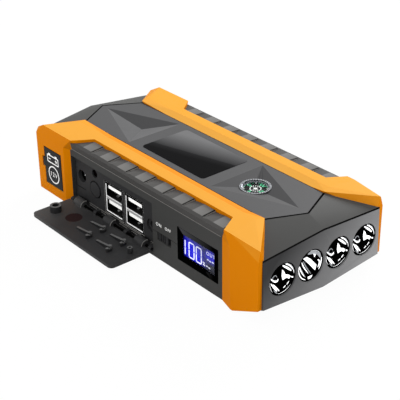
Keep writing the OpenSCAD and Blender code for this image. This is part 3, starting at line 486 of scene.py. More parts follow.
def smooth_creases():
    """Node group that shades edges under CREASE_ANGLE smoothly, so a warped face shows none."""
    group = bpy.data.node_groups.new("smooth_creases", "GeometryNodeTree")
    for side in ("INPUT", "OUTPUT"):
        group.interface.new_socket("Geometry", in_out=side, socket_type="NodeSocketGeometry")
    start, end = group.nodes.new("NodeGroupInput"), group.nodes.new("NodeGroupOutput")
    angle = group.nodes.new("GeometryNodeInputMeshEdgeAngle")
    small = group.nodes.new("FunctionNodeCompare")
    small.data_type, small.operation = "FLOAT", "LESS_THAN"
    small.inputs["B"].default_value = CREASE_ANGLE
    edges, faces = (group.nodes.new("GeometryNodeSetShadeSmooth") for i in range(2))
    edges.domain, faces.domain = "EDGE", "FACE"
    for a, b in (
        (start.outputs[0], edges.inputs[0]),
        (angle.outputs["Unsigned Angle"], small.inputs["A"]),
        (small.outputs[0], edges.inputs["Shade Smooth"]),
        (edges.outputs[0], faces.inputs[0]),
        (faces.outputs[0], end.inputs[0]),
    ):
        group.links.new(a, b)
    return group


def soften(name, width):
    """Rounds the moulded edges of a CAD node a little, without moving its faces."""
    node = NODES[name]
    weld = node.modifiers.new("weld", "WELD")
    weld.merge_threshold = WELD_DISTANCE
    bevel = node.modifiers.new("edge", "BEVEL")
    bevel.width = width
    bevel.segments = 2
    bevel.limit_method = "ANGLE"
    bevel.angle_limit = SHARP_ANGLE
    bevel.use_clamp_overlap = True
    bevel.harden_normals = True


for radius, names in (
    (0.35 * MM, "near_frame far_frame"),
    (0.2 * MM, "top_panel front_end_cap rear_end_cap upper_shell label_plate"),
    (0.25 * MM, "port_door start_cover lcd_bezel"),
):
    for name in names.split():
        soften(name, radius)
NODES["upper_shell"].modifiers.new("creases", "NODES").node_group = smooth_creases()

# ---------------------------------------------------------------- tools for pieces

INK = 0.05 * MM  # thickness of printed marks and fine lines
LETTER_SPACING = 1.25
FACE_SIDE = Matrix.Rotation(math.radians(90), 4, "X")  # turns text to face -Y


def add_piece(name, mesh_or_bmesh, material, body="housing", smooth=False):
    """Links a mesh as a piece that rides on a CAD body."""
    if isinstance(mesh_or_bmesh, bmesh.types.BMesh):
        mesh = bpy.data.meshes.new(name)
        bmesh.ops.recalc_face_normals(mesh_or_bmesh, faces=mesh_or_bmesh.faces)
        mesh_or_bmesh.to_mesh(mesh)
        mesh_or_bmesh.free()
    else:
        mesh = mesh_or_bmesh
        mesh.name = name
    piece = bpy.data.objects.new(name, mesh)
    bpy.context.scene.collection.objects.link(piece)
    mesh.materials.clear()
    mesh.materials.append(material)
    for face in mesh.polygons:
        face.use_smooth = smooth
    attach(piece, body)
    return piece


def on_side(y, x=0.0, z=0.0):
    """Places a plate that faces -Y: u runs along +X, v along +Z."""
    return lambda u, v, depth: Vector((x + u, y - depth, z + v))


def on_top(z, x=0.0, y=0.0):
    """Places a plate that faces +Z: u runs along +X, v along +Y."""
    return lambda u, v, depth: Vector((x + u, y + v, z + depth))


def under(z, x, y):
    """Places a plate that faces -Z: u runs along +X, v along +Y."""
    return lambda u, v, depth: Vector((x + u, y + v, z - depth))


def on_end(x, y, z):
    """Places a plate that faces +X: u runs along +Y, v along +Z."""
    return lambda u, v, depth: Vector((x + depth, y + u, z + v))


def on_mirror(u, v, depth):
    """Places a plate, drawn in millimetres, in front of a lamp's dish."""
    return Vector((depth - 0.3 * MM, u * MM, v * MM))


def slab(form, outline, thick, place):
    """Adds a plate to form. outline is a list of (u, v). place makes (u, v, depth) a point."""
    front = [form.verts.new(place(u, v, thick)) for u, v in outline]
    back = [form.verts.new(place(u, v, 0)) for u, v in outline]
    form.faces.new(front)
    form.faces.new(list(reversed(back)))
    for i in range(len(outline)):
        j = (i + 1) % len(outline)
        form.faces.new([back[i], back[j], front[j], front[i]])


def bar(form, u0, v0, u1, v1, place, thick=INK):
    """Flat rectangle between two corners, in millimetres."""
    slab(form, [(u0 * MM, v0 * MM), (u1 * MM, v0 * MM), (u1 * MM, v1 * MM), (u0 * MM, v1 * MM)],
         thick, place)


def pointed_bar(form, place, u0, v0, u1, v1, half, thick):
    """Bar of the display with pointed ends between two points."""
    forth = Vector((u1 - u0, v1 - v0)).normalized() * half
    across = Vector((-forth.y, forth.x))
    a, b = Vector((u0, v0)) + forth * 1.2, Vector((u1, v1)) - forth * 1.2
    outline = (a - forth, a - across, b - across, b + forth, b + across, a + across)
    slab(form, [tuple(point) for point in outline], thick, place)


def round_outline(half_u, half_v, radius, steps=6):
    """Rectangle with rounded corners, as a list of points."""
    points = []
    for k, (su, sv) in enumerate(((1, 1), (-1, 1), (-1, -1), (1, -1))):
        for i in range(steps + 1):
            angle = math.radians(90 * (k + i / steps))
            points.append((su * (half_u - radius) + radius * math.cos(angle),
                           sv * (half_v - radius) + radius * math.sin(angle)))
    return points


def frame_strip(form, half_u, half_v, radius, width, thick, place):
    """Thin closed line round a plate."""
    outer = round_outline(half_u, half_v, radius)
    inner = round_outline(half_u - width, half_v - width, max(radius - width, 0.1 * MM))
    rings = [[form.verts.new(place(u, v, d)) for u, v in line]
             for line, d in ((outer, 0), (outer, thick), (inner, thick), (inner, 0))]
    for low, high in zip(rings, rings[1:] + rings[:1]):
        for i in range(len(low)):
            j = (i + 1) % len(low)
            form.faces.new([low[i], low[j], high[j], high[i]])


def ring_strip(form, radius, width, thick, place):
    """Thin closed ring. Its outline keeps a straight stretch of a hair's width on each side."""
    frame_strip(form, radius, radius, radius - 0.01 * MM, width, thick, place)


def line_between(form, a, b, width, normal):
    """Straight ribbon on a face with the given normal."""
    a, b, up = Vector(a), Vector(b), Vector(normal).normalized()
    side = up.cross(b - a).normalized() * width / 2
    slab(form, [(0, 0), (1, 0), (1, 1), (0, 1)], 0.04 * MM,
         lambda u, v, d: a.lerp(b, u) + side * (2 * v - 1) + up * d)


def ticks(form, count, inner, outer, half, place):
    """Ring of short strokes that point at the middle."""
    for i in range(count):
        angle = 2 * math.pi * i / count
        out = Vector((math.cos(angle), math.sin(angle)))
        side = Vector((-out.y, out.x)) * half
        corners = (out * inner - side, out * outer - side, out * outer + side, out * inner + side)
        slab(form, [tuple(c) for c in corners], INK, place)


def words(name, text, size, place, turn, material, body="housing"):
    """Printed word or number as a thin mesh, centred on its place."""
    curve = bpy.data.curves.new(name, "FONT")
    curve.body = text
    curve.size = size
    curve.space_character = LETTER_SPACING
    curve.extrude = INK
    curve.align_x, curve.align_y = "CENTER", "CENTER"
    source = bpy.data.objects.new(name + "_source", curve)
    bpy.context.scene.collection.objects.link(source)
    bpy.context.view_layer.update()
    drawn = source.evaluated_get(bpy.context.evaluated_depsgraph_get())
    mesh = bpy.data.meshes.new_from_object(drawn)
    bpy.data.objects.remove(source)
    mesh.transform(Matrix.Translation(place) @ turn)
    return add_piece(name, mesh, material, body)


# ---------------------------------------------------------------- display

LCD_BORDER = 2.6 * MM
DIGIT_W, DIGIT_MID, DIGIT_H = 3.5 * MM, 3.9 * MM, 7.8 * MM
LIT_HALF = 0.31 * MM  # half the width of a lit bar
LIT_THICK = 0.08 * MM
RIGHT_BARS = ((DIGIT_W, DIGIT_MID, DIGIT_W, DIGIT_H), (DIGIT_W, 0, DIGIT_W, DIGIT_MID))
LIT_BARS = {
    "1": RIGHT_BARS,
    "0": ((0, DIGIT_H, DIGIT_W, DIGIT_H), *RIGHT_BARS, (0, 0, DIGIT_W, 0), (0, 0, 0, DIGIT_MID),
          (0, DIGIT_MID, 0, DIGIT_H)),
}
DIGITS = (("1", -2.5), ("0", 3.8), ("0", 8.9))  # characters and their places, in millimetres
DIGIT_FOOT = 0.8 * MM
bezel_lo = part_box("lcd_bezel")[0]
screen_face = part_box("lcd_module")[0].y
view_x0, view_z0 = bezel_lo.x + LCD_BORDER, bezel_lo.z + LCD_BORDER

digits = bmesh.new()
for character, at in DIGITS:
    place = on_side(screen_face, view_x0 + at * MM, view_z0 + DIGIT_FOOT)
    for ends in LIT_BARS[character]:
        pointed_bar(digits, place, *ends, LIT_HALF, LIT_THICK)
add_piece("screen_digits", digits, screen_white)

# Percent sign, and bars in the place of the smallest marks. All of it is in millimetres.
PERCENT_AT = (13.5, 0.9)
PERCENT_STROKE, PERCENT_HALF = (0.1, 0, 1.3, 2.0), 0.2
PERCENT_DOTS, DOT_R = ((0.25, 1.6), (1.15, 0.4)), 0.4
MARK_BARS = ((16.3, 5.0, 1.2), (18.0, 4.8, 1.0), (19.6, 5.0, 1.4), (15.8, 1.3, 1.1),
             (17.3, 1.1, 1.3))
MARK_H = 0.6
marks = bmesh.new()
percent = on_side(screen_face, view_x0 + PERCENT_AT[0] * MM, view_z0 + PERCENT_AT[1] * MM)
pointed_bar(marks, percent, *(end * MM for end in PERCENT_STROKE), PERCENT_HALF * MM, LIT_THICK)
for u, v in PERCENT_DOTS:
    dot = [((u + DOT_R * math.cos(t)) * MM, (v + DOT_R * math.sin(t)) * MM)
           for t in (math.radians(45 * i) for i in range(8))]
    slab(marks, dot, LIT_THICK, percent)
for u, v, w in MARK_BARS:
    bar(marks, u, v, u + w, v + MARK_H, on_side(screen_face, view_x0, view_z0), LIT_THICK)
add_piece("screen_marks", marks, screen_white)
out_at = Vector((view_x0 + 18.9 * MM, screen_face - INK, view_z0 + 8.4 * MM))
words("screen_out", "OUT", 2.5 * MM, out_at, FACE_SIDE, screen_white)

# Words beside the slide switch: height, and place along X and Z, in millimetres
SWITCH_WORDS = (("switch_on", "ON", 2.4, 17.0, 18.8), ("switch_off", "OFF", 2.2, 23.8, 18.9))
side_y = bezel_lo.y + 0.2 * MM  # the display's border stands proud of the side
for name, text, size, x, z in SWITCH_WORDS:
    words(name, text, size * MM, Vector((x * MM, side_y, z * MM)), FACE_SIDE, print_white)

# ---------------------------------------------------------------- charging sockets

USB_W = 13.7 * MM
CONTACTS = 4
# Contacts under each tongue, then spring tabs at the foot of each socket, in millimetres
CONTACT_SPAN, CONTACT_W, CONTACT_LEN, CONTACT_THICK = 7.0, 1.0, 8.0, 0.12
CONTACT_SETBACK, TONGUE_UNDER = 1.6, 0.5
TAB_PLACES, TAB_OUTLINE = (-1.2, 4.4), ((-0.7, 0), (0.7, 0), (0.6, 1.3), (-0.6, 1.3))
TAB_SETBACK, TAB_DROP, TAB_THICK = 3.0, 3.3, 0.35
shell_lo, shell_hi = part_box("usb_shells")
tongue_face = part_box("usb_tongues")[0].y
usb_h = shell_hi.z - shell_lo.z
usb_places = [shell_lo.x + USB_W / 2, shell_hi.x - USB_W / 2]
usb_mid = (shell_lo.z + shell_hi.z) / 2
contacts, springs = bmesh.new(), bmesh.new()
for x in usb_places:
    for z in (usb_mid - usb_h / 4, usb_mid + usb_h / 4):
        below_tongue = under(z + TONGUE_UNDER * MM, x, tongue_face + CONTACT_SETBACK * MM)
        for i in range(CONTACTS):
            u = CONTACT_SPAN * (i / (CONTACTS - 1) - 0.5) - CONTACT_W / 2
            bar(contacts, u, 0, u + CONTACT_W, CONTACT_LEN, below_tongue, CONTACT_THICK * MM)
        on_shell = on_top(z - TAB_DROP * MM, x, shell_lo.y + TAB_SETBACK * MM)
        for at in TAB_PLACES:
            tab = [((at + u) * MM, v * MM) for u, v in TAB_OUTLINE]
            slab(springs, tab, TAB_THICK * MM, on_shell)
add_piece("usb_contacts", contacts, brass)
add_piece("usb_springs", springs, plated)

# ---------------------------------------------------------------- port bay

# Bars in the bay: u and v of two corners, in millimetres, from the middle of each socket stack.
# The rims and lips are painted highlights, the lines and corner bars painted shade, and the tongue
# tips glow with painted light.
RIM_BARS = ((-6.5, -7.9, -6.1, 7.3), (-6.05, -7.9, 6.3, -7.45), (-6.05, 0.5, 6.3, 0.8))
LINE_BARS = ((-6.85, 7.35, 6.85, 8.2), (-6.85, -7.85, -6.55, 7.3), (-6.85, -8.2, 6.85, -7.95),
             (6.35, -7.9, 6.85, 7.3))
LIP_BARS = ((-7.6, -9.15, 7.6, -8.85), (-7.75, -9.15, -7.62, 8.6))
TIP_BAR = (-5.6, 0.35, 5.6, 2.75)  # from the middle of each tongue
CORNER_BARS = ((-5.5, -6.8, -5.25, 7.0), (-5.25, -7.1, 2.6, -6.8))  # from the input's middle
# Painted shade: a dark ring for the gap round the power button
RING_R, RING_W = 4.28 * MM, 0.2 * MM  # dark ring on the power button
PIN_R, PIN_DEPTH = 1.02 * MM, 2.7 * MM  # tip of the charging input's pin

bay_face = shell_lo.y
jack_lo, jack_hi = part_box("dc_input_jack")
button_lo, button_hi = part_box("door_button_pad")
jack_x, jack_z = (jack_lo.x + jack_hi.x) / 2, (jack_lo.z + jack_hi.z) / 2
button_x, button_z = (button_lo.x + button_hi.x) / 2, 15.0 * MM

lips, lines, rims, tips, button_edge = (bmesh.new() for i in range(5))
for x in usb_places:
    for form, bars in ((rims, RIM_BARS), (lines, LINE_BARS), (lips, LIP_BARS)):
        for corners in bars:
            bar(form, *corners, on_side(bay_face, x, usb_mid))
    for z in (usb_mid - usb_h / 4, usb_mid + usb_h / 4):
        bar(tips, *TIP_BAR, on_side(tongue_face, x, z))
for corners in CORNER_BARS:
    bar(lines, *corners, on_side(bay_face, jack_x, jack_z))
ring_strip(button_edge, RING_R, RING_W, 0.03 * MM,
           on_side(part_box("power_button")[0].y, button_x, button_z))
add_piece("button_edge", button_edge, gap_shade, body="button")
add_piece("socket_rims", rims, rim_highlight)
add_piece("tongue_tips", tips, tongue_plastic)
add_piece("bay_lips", lips, glowing_edge_highlight)
add_piece("bay_lines", lines, gap_shade)

# Painted highlights on the ends of the door's knuckles, and ribs between them that are light grey
# as a painted highlight
KNUCKLE_HALF, KNUCKLE_PITCH, KNUCKLE_R = 3.3 * MM, 25.4 * MM, 2.92 * MM
KNUCKLE_RIM = 0.4 * MM
ARC_ANGLES = [math.radians(68 + 10 * i) for i in range(12)]  # from the top to the near side
RIB_PLACES, RIB_W, RIB_GAP = (5.1, 3.9), 0.2, 0.5  # in millimetres
pin_lo, pin_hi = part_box("door_hinge_pin")
turn_y, turn_z = (pin_lo.y + pin_hi.y) / 2, (pin_lo.z + pin_hi.z) / 2
knuckle_ends, ribs = bmesh.new(), bmesh.new()
for k in (-1, 0, 1):
    x = (pin_lo.x + pin_hi.x) / 2 + k * KNUCKLE_PITCH + KNUCKLE_HALF
    arc = [[(r * math.cos(t), r * math.sin(t)) for r in (KNUCKLE_R, KNUCKLE_R - KNUCKLE_RIM)]
           for t in ARC_ANGLES]
    for (a, b), (c, d) in zip(arc, arc[1:]):
        slab(knuckle_ends, [a, c, d, b], INK, on_end(x, turn_y, turn_z))
    end = x + KNUCKLE_PITCH - 2 * KNUCKLE_HALF if k < 1 else pin_hi.x
    for z in RIB_PLACES:
        bar(ribs, RIB_GAP, z, (end - x) / MM - RIB_GAP, z + RIB_W, on_side(bay_face, x, 0),
            0.25 * MM)
add_piece("knuckle_edges", knuckle_ends, glowing_edge_highlight, body="door")
add_piece("bay_ribs", ribs, edge_highlight)
pin = bmesh.new()
bmesh.ops.create_uvsphere(pin, u_segments=16, v_segments=8, radius=PIN_R,
                          matrix=Matrix.Translation((jack_x, bay_face + PIN_DEPTH, jack_z)))
add_piece("input_pin", pin, plated, smooth=True)

# ---------------------------------------------------------------- cover of the start socket

# Generic signs: a battery with its poles, and a ring round the voltage. The sizes of the battery
# are in millimetres from its middle.
COVER_W = 15.2 * MM
BATTERY_UP, VOLTS_UP = 15.1 * MM, 6.6 * MM  # middle of each sign over the cover's foot
CASE_HALF_W, CASE_HALF_H, CASE_ROUND, CASE_LINE = 5.2, 2.2, 0.5, 0.55
POLE_AT, POLE_HALF, POLE_TOP = 3.0, 0.9, 3.0
STROKE_LONG, STROKE_THIN = 1.0, 0.25  # half the length and half the width of a stroke
VOLTS_R, VOLTS_LINE, VOLTS_SIZE = 4.9 * MM, 0.6 * MM, 3.6 * MM
cover_lo, cover_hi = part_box("start_cover")
sign_x = cover_hi.x - COVER_W / 2
signs = bmesh.new()
battery = on_side(cover_lo.y, sign_x, cover_lo.z + BATTERY_UP)
frame_strip(signs, CASE_HALF_W * MM, CASE_HALF_H * MM, CASE_ROUND * MM, CASE_LINE * MM, INK,
            battery)
for u in (-POLE_AT, POLE_AT):
    bar(signs, u - POLE_HALF, CASE_HALF_H, u + POLE_HALF, POLE_TOP, battery)
    bar(signs, u - STROKE_LONG, -STROKE_THIN, u + STROKE_LONG, STROKE_THIN, battery)
bar(signs, POLE_AT - STROKE_THIN, -STROKE_LONG, POLE_AT + STROKE_THIN, STROKE_LONG, battery)
volts = on_side(cover_lo.y, sign_x, cover_lo.z + VOLTS_UP)
ring_strip(signs, VOLTS_R, VOLTS_LINE, INK, volts)
add_piece("cover_signs", signs, print_white, body="socket_flap")
words("cover_volts", "12V", VOLTS_SIZE, volts(0, 0, 0), FACE_SIDE, print_white,
      body="socket_flap")

# ---------------------------------------------------------------- seams and edges: painted shade and painted highlights

SIDE_Y = 35.7 * MM  # the long sides of the housing
END_X = 87.52 * MM  # just clear of the front end face
SEAM_X = (-65.8 * MM, 69.5 * MM)  # ends of the straight seams beside the rails
EDGE_X, EDGE_Z = (-54.0 * MM, 61.0 * MM), 32.05 * MM  # edge of the shoulder under the grips
SEAM_W, POINT_SEAM_W, END_SEAM_W = 0.3 * MM, 0.75 * MM, 0.9 * MM
END_SEAM_Z = (31.6 * MM, 33.7 * MM)  # seam of the front end face, at its side and its middle
INSET = 0.2 * MM
panel_lo, panel_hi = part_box("top_panel")
top_z = panel_hi.z
seams, edges = bmesh.new(), bmesh.new()
rear_x, front_x = SEAM_X
for k in (-1, 1):
    y = k * (panel_hi.y - 0.1 * MM)
    line_between(seams, (rear_x, y, top_z), (front_x, y, top_z), SEAM_W, (0, 0, 1))
    line_between(seams, (front_x - INSET, y, top_z), (panel_hi.x - INSET, 0, top_z),
                 POINT_SEAM_W, (0, 0, 1))
    line_between(seams, (rear_x + INSET, y, top_z), (panel_lo.x + INSET, 0, top_z),
                 POINT_SEAM_W, (0, 0, 1))
    line_between(seams, (END_X, k * SIDE_Y, END_SEAM_Z[0]), (END_X, 0, END_SEAM_Z[1]),
                 END_SEAM_W, (1, 0, 0.04))
    line_between(edges, (EDGE_X[0], -k * SIDE_Y, EDGE_Z), (EDGE_X[1], -k * SIDE_Y, EDGE_Z),
                 SEAM_W, (0, -k, 0))
# Painted shade laid over the seams, and a painted highlight along the shoulder's edge
add_piece("seam_lines", seams, gap_shade)
add_piece("edge_lines", edges, edge_highlight)

# ---------------------------------------------------------------- compass dial

DIAL_R = 6.2 * MM
DIAL_SINK = 0.25 * MM  # from the lens down to the dial
LETTER_SIZE, LETTER_R, LETTER_LIFT = 3.5 * MM, 0.66 * DIAL_R, 0.06 * MM
# Rings of ticks: how many, where they start and end, and half their width
GREEN_TICKS = (24, 0.86 * DIAL_R, 0.97 * DIAL_R, 0.2 * MM)
LONG_TICKS = (8, 0.82 * DIAL_R, 0.97 * DIAL_R, 0.22 * MM)
INNER_TICKS = (16, 0.36 * DIAL_R, 0.46 * DIAL_R, 0.2 * MM)
LONG_TICK_LIFT = 0.02 * MM
STAR_POINTS = 8
STAR_LONG, STAR_SHORT, STAR_HALF, STAR_THICK = 0.3 * DIAL_R, 0.2 * DIAL_R, 0.28 * MM, 0.04 * MM
RIM_TICKS, RIM_TICK_HALF = 36, 0.12 * MM
RIM_TICK_FROM, RIM_TICK_TO = 0.85 * MM, 0.2 * MM  # inward from the housing's edge
card_lo, card_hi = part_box("compass_card")
housing_lo, housing_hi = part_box("compass_housing")
dial_x = (card_lo.x + card_hi.x) / 2
dial_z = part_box("compass_lens")[0].z - DIAL_SINK
dial = bmesh.new()
slab(dial, round_outline(DIAL_R, DIAL_R, DIAL_R - 0.01 * MM, 9), dial_z - card_hi.z,
     on_top(card_hi.z, dial_x))
add_piece("dial_plate", dial, compass_dark, body="card")
on_dial = on_top(dial_z, dial_x)
green, pale = bmesh.new(), bmesh.new()
ticks(green, *GREEN_TICKS, on_dial)
ticks(pale, *LONG_TICKS, on_top(dial_z + LONG_TICK_LIFT, dial_x))
ticks(pale, *INNER_TICKS, on_dial)
for i in range(STAR_POINTS):
    angle = 2 * math.pi * i / STAR_POINTS
    reach = STAR_SHORT if i % 2 else STAR_LONG
    point = Vector((math.cos(angle), math.sin(angle))) * reach
    side = Vector((-math.sin(angle), math.cos(angle))) * STAR_HALF
    slab(pale, [tuple(-side), tuple(point), tuple(side)], STAR_THICK, on_dial)
add_piece("dial_ticks", green, dial_green, body="card")
add_piece("dial_star", pale, dial_white, body="card")
for letter, angle in (("N", 0), ("E", -90), ("S", 180), ("W", 90)):
    turn = Matrix.Rotation(math.radians(angle - 90), 4, "Z")
    at = turn @ Vector((0, LETTER_R, 0))
    place = Vector((dial_x + at.x, at.y, dial_z + LETTER_LIFT))
    words("dial_" + letter, letter, LETTER_SIZE, place, turn, dial_green, body="card")

rim = bmesh.new()
rim_r = (housing_hi.x - housing_lo.x) / 2
ticks(rim, RIM_TICKS, rim_r - RIM_TICK_FROM, rim_r - RIM_TICK_TO, RIM_TICK_HALF,
      on_top(housing_hi.z, (housing_lo.x + housing_hi.x) / 2))
add_piece("compass_scale", rim, compass_dark)

# ---------------------------------------------------------------- lamps

LAMPS = 4
WEDGES = 24
DISH_RINGS = ((1.0, -0.5), (4.0, -0.45), (6.6, -0.35), (7.75, 0.0))  # radius and depth, in mm
FACET_THICK = 0.1 * MM
mirror_lo, mirror_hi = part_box("led_reflectors")
lamp_r = (mirror_hi.z - mirror_lo.z) / 2
lamp_z = (mirror_hi.z + mirror_lo.z) / 2
lamp_y0, lamp_y3 = mirror_lo.y + lamp_r, mirror_hi.y - lamp_r
lamp_places = [lamp_y0 + (lamp_y3 - lamp_y0) * i / (LAMPS - 1) for i in range(LAMPS)]
mouth_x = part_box("front_end_cap")[1].x - 1.1 * MM


def faceted_dish():
    """Shallow dish of flat wedges in front of the lens, with its origin at its mouth."""
    form = bmesh.new()
    rings = []
    for row, (r, x) in enumerate(DISH_RINGS):
        rings.append([
            form.verts.new(Vector((x * MM, r * MM * math.cos(angle), r * MM * math.sin(angle))))
            for angle in (2 * math.pi * (i + 0.5 * (row % 2)) / WEDGES for i in range(WEDGES))
        ])
    form.faces.new(rings[0])
    for row, (low, high) in enumerate(zip(rings, rings[1:])):
        for i in range(WEDGES):
            j = (i + 1) % WEDGES
            if row % 2:
                form.faces.new([low[i], low[j], high[j]])
                form.faces.new([low[i], high[j], high[i]])
            else:
                form.faces.new([low[i], low[j], high[i]])
                form.faces.new([low[j], high[j], high[i]])
    return form


def facet_strip(form, half, points):
    """Curved strip of painted reflection through a few points, as a smooth curve that narrows at
    its ends.
    """
    path = []
    last = len(points) - 1
    for i in range(last):
        a, b, c, d = (Vector(points[min(max(k, 0), last)]) for k in (i - 1, i, i + 1, i + 2))
        for t in (0, 0.25, 0.5, 0.75):
            path.append(0.5 * (2 * b + (c - a) * t + (2 * a - 5 * b + 4 * c - d) * t * t
                               + (3 * b - a - 3 * c + d) * t * t * t))
    path.append(Vector(points[-1]))
    left, right = [], []
    for i, at in enumerate(path):
        run = (path[min(i + 1, len(path) - 1)] - path[max(i - 1, 0)]).normalized()
        wide = half * (0.25 + 0.75 * math.sin(math.pi * (i + 0.5) / len(path)))
        side = Vector((-run.y, run.x)) * wide
        left.append(tuple(at + side))
        right.append(tuple(at - side))
    for i in range(len(path) - 1):
        slab(form, [left[i], left[i + 1], right[i + 1], right[i]], FACET_THICK, on_mirror)


def rim_arc(radius, first, last, middle=(0, 0), steps=4):
    """Points on a circle between two angles, in millimetres."""
    angles = [math.radians(first + (last - first) * i / steps) for i in range(steps + 1)]
    return [(middle[0] + radius * math.cos(t), middle[1] + radius * math.sin(t)) for t in angles]


# Painted reflections on the facets of the two kinds of lamp, in millimetres from the lamp's middle,
# seen from the front: u runs along +Y and v along +Z. A strip is its half width and the points that
# it follows.
SWIRL_STRIPS = (
    (0.55, ((0.2, 6.5), (2.9, 4.3), (5.4, 1.9))),
    (0.25, ((1.9, 6.6), (4.5, 4.7), (6.5, 2.0))),
    (0.4, rim_arc(7.1, 75, 0)),
    (0.5, ((-6.6, 2.6), (-5.2, 1.1), (-3.6, 0.0), (-2.5, 0.2), (-2.4, 0.9))),
    (0.35, rim_arc(7.2, 172, 222)),
    (0.4, ((-6.5, 0.2), (-4.6, -2.6), (-2.8, -5.2))),
    (0.35, ((-5.2, -0.8), (-3.3, -3.2), (-1.4, -5.6))),
    (0.3, rim_arc(7.15, 250, 318)),
    (0.25, ((1.0, -5.0), (2.3, -4.3))),
    (0.25, ((2.9, -4.1), (4.2, -3.0))),
    (0.4, ((5.6, -1.2), (6.6, -1.9))),
)
SWIRL_PLATES = (
    ((0.0, 4.6), (1.1, 3.3), (1.9, 1.4), (1.7, -0.6), (0.4, -0.8), (-0.2, 1.4)),
    ((1.9, 1.4), (4.0, 0.4), (5.2, -0.7), (4.2, -1.7), (2.9, -0.6), (1.7, -0.6)),
)
SWIRL_GREY = (
    (0.2, rim_arc(7.3, 95, 165)),
    (0.22, rim_arc(1.3, 0, 300, middle=(-4.3, 2.0))),
    (0.3, ((3.4, 6.4), (5.7, 4.2), (6.9, 1.6))),
    (0.3, ((-4.6, -4.0), (-2.6, -6.4))),
)
WEDGE_STRIPS = (
    (0.3, ((-5.2, 3.3), (-3.9, 0.4), (-1.0, -3.8))),
    (0.4, ((-6.6, 1.8), (-5.3, -1.1), (-3.3, -4.5))),
    (0.5, rim_arc(7.0, 168, 248)),
    (0.45, rim_arc(6.9, 12, -38)),
    (0.3, rim_arc(7.1, 90, 40)),
    (0.4, ((4.6, 1.0), (5.8, -0.6), (4.9, -3.0))),
    (0.5, ((1.6, 5.4), (2.6, 4.2), (2.4, 3.2))),
)
WEDGE_PLATES = (
    ((-4.4, 4.9), (-2.2, 5.0), (0.2, 3.0), (3.9, -1.4), (3.2, -3.9), (-0.5, 0.5)),
    ((-1.2, -5.6), (1.7, -5.7), (0.7, -7.0), (-0.9, -6.9)),
)
WEDGE_GREY = (
    (1.0, ((-1.6, 6.2), (1.6, 6.0), (4.6, 4.4), (6.2, 1.6))),
    (0.25, ((-4.4, 3.6), (-2.6, 0.2), (0.6, -4.6))),
    (0.25, ((-6.0, 0.8), (-4.6, -2.0), (-2.6, -5.2))),
)
SWIRL, WEDGE = (SWIRL_STRIPS, SWIRL_PLATES, SWIRL_GREY), (WEDGE_STRIPS, WEDGE_PLATES, WEDGE_GREY)
BRIGHT_SHARE = 0.85  # the bright strips are drawn a little narrower than they are listed
for i, (y, kind) in enumerate(zip(lamp_places, (SWIRL, WEDGE, SWIRL, SWIRL))):
    strips, plates, greys = kind
    bright, dim = bmesh.new(), bmesh.new()
    for half, points in strips:
        facet_strip(bright, half * BRIGHT_SHARE, points)
    for outline in plates:
        slab(bright, outline, FACET_THICK, on_mirror)
    for half, points in greys:
        facet_strip(dim, half, points)
    # Each lamp's mirror is a black dish, with painted reflections on it as bright and grey strips
    # that glow
    for name, form, material in (
        ("lamp_mirror", faceted_dish(), mirror_dark),
        ("lamp_bright_reflections", bright, mirror_bright_reflection),
        ("lamp_reflex", dim, mirror_grey_reflection),
    ):
        piece = add_piece("%s_%d" % (name, i + 1), form, material)
        piece.location = (mouth_x, y, lamp_z)

# ---------------------------------------------------------------- stage

FLOOR_HALF = 3.0
FLOOR_GAP = 0.02 * MM
FLOOR_SHARE = 0.97  # the white share of the floor where it is seen, which leaves a faint shadow

floor = bpy.data.objects.new("floor", bpy.data.meshes.new("floor"))
corners = [(i * FLOOR_HALF, j * FLOOR_HALF, 0) for i, j in ((-1, -1), (1, -1), (1, 1), (-1, 1))]
floor.data.from_pydata(corners, [], [(0, 1, 2, 3)])
floor.location.z = -FLOOR_GAP
bpy.context.scene.collection.objects.link(floor)


def seen_directly(tree):
    """1 for camera, glossy and transmission rays, 0 for all others."""
    path = tree.nodes.new("ShaderNodeLightPath")
    total = path.outputs["Is Camera Ray"]
    for name in ("Is Glossy Ray", "Is Transmission Ray"):
        total = maths(tree, "MAXIMUM", total, path.outputs[name])
    return total


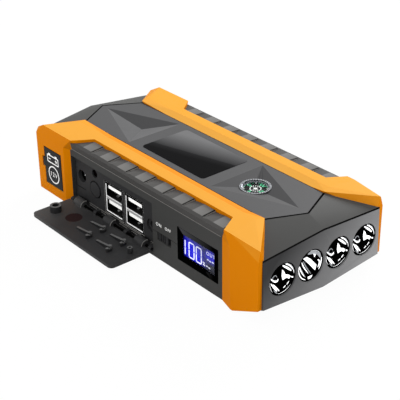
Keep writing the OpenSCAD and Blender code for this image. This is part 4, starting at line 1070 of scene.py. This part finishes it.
def floor_material():
    """Pale floor: white where it is seen, with a faint shadow under the object."""
    material, tree, bsdf = new_material("floor_paper")
    output = next(n for n in tree.nodes if n.type == "OUTPUT_MATERIAL")
    tone = mottled(tree, noise(tree, 30, 3), (0.80,) * 3, (0.82,) * 3)
    tree.links.new(tone, bsdf.inputs["Base Color"])
    bsdf.inputs["Roughness"].default_value = 0.9
    bsdf.inputs["Specular IOR Level"].default_value = 0.1
    white = tree.nodes.new("ShaderNodeEmission")
    mix = tree.nodes.new("ShaderNodeMixShader")
    tree.links.new(maths(tree, "MULTIPLY", seen_directly(tree), FLOOR_SHARE), mix.inputs["Fac"])
    tree.links.new(bsdf.outputs[0], mix.inputs[1])
    tree.links.new(white.outputs[0], mix.inputs[2])
    tree.links.new(mix.outputs[0], output.inputs[0])
    return material


floor.data.materials.append(floor_material())

# ---------------------------------------------------------------- light

WORLD_LIGHT = 0.84
world = bpy.data.worlds.new("studio")
bpy.context.scene.world = world
world.use_nodes = True
tree = world.node_tree
tree.nodes.clear()
output = tree.nodes.new("ShaderNodeOutputWorld")
mix = tree.nodes.new("ShaderNodeMixShader")
tree.links.new(seen_directly(tree), mix.inputs["Fac"])
for i, strength in ((1, WORLD_LIGHT), (2, 1)):
    background = tree.nodes.new("ShaderNodeBackground")
    background.inputs["Color"].default_value = (1, 1, 1, 1)
    background.inputs["Strength"].default_value = strength
    tree.links.new(background.outputs[0], mix.inputs[i])
tree.links.new(mix.outputs[0], output.inputs[0])

# Name, place, point it looks at, width and height in metres, and power in watts
SOFTBOXES = (
    ("key_light", (-0.27, 0.84, 0.53), (0, 0, 0.02), (0.5, 0.5), 10),
    ("end_light", (0.34, 0.28, 0.02), (0.09, 0.02, 0.01), (0.16, 0.16), 0.6),
    ("top_light", (0.10, -0.25, 0.85), (0, 0, 0.02), (0.5, 0.5), 1.5),
    ("fill_light", (0.10, -0.80, 0.22), (0, 0, 0.02), (0.5, 0.4), 0.8),
)
for name, place, target, size, power in SOFTBOXES:
    light = bpy.data.lights.new(name, "AREA")
    light.shape = "RECTANGLE"
    light.size, light.size_y = size
    light.energy = power
    lamp = bpy.data.objects.new(name, light)
    bpy.context.scene.collection.objects.link(lamp)
    lamp.location = place
    lamp.rotation_euler = (Vector(target) - Vector(place)).to_track_quat("-Z", "Y").to_euler()
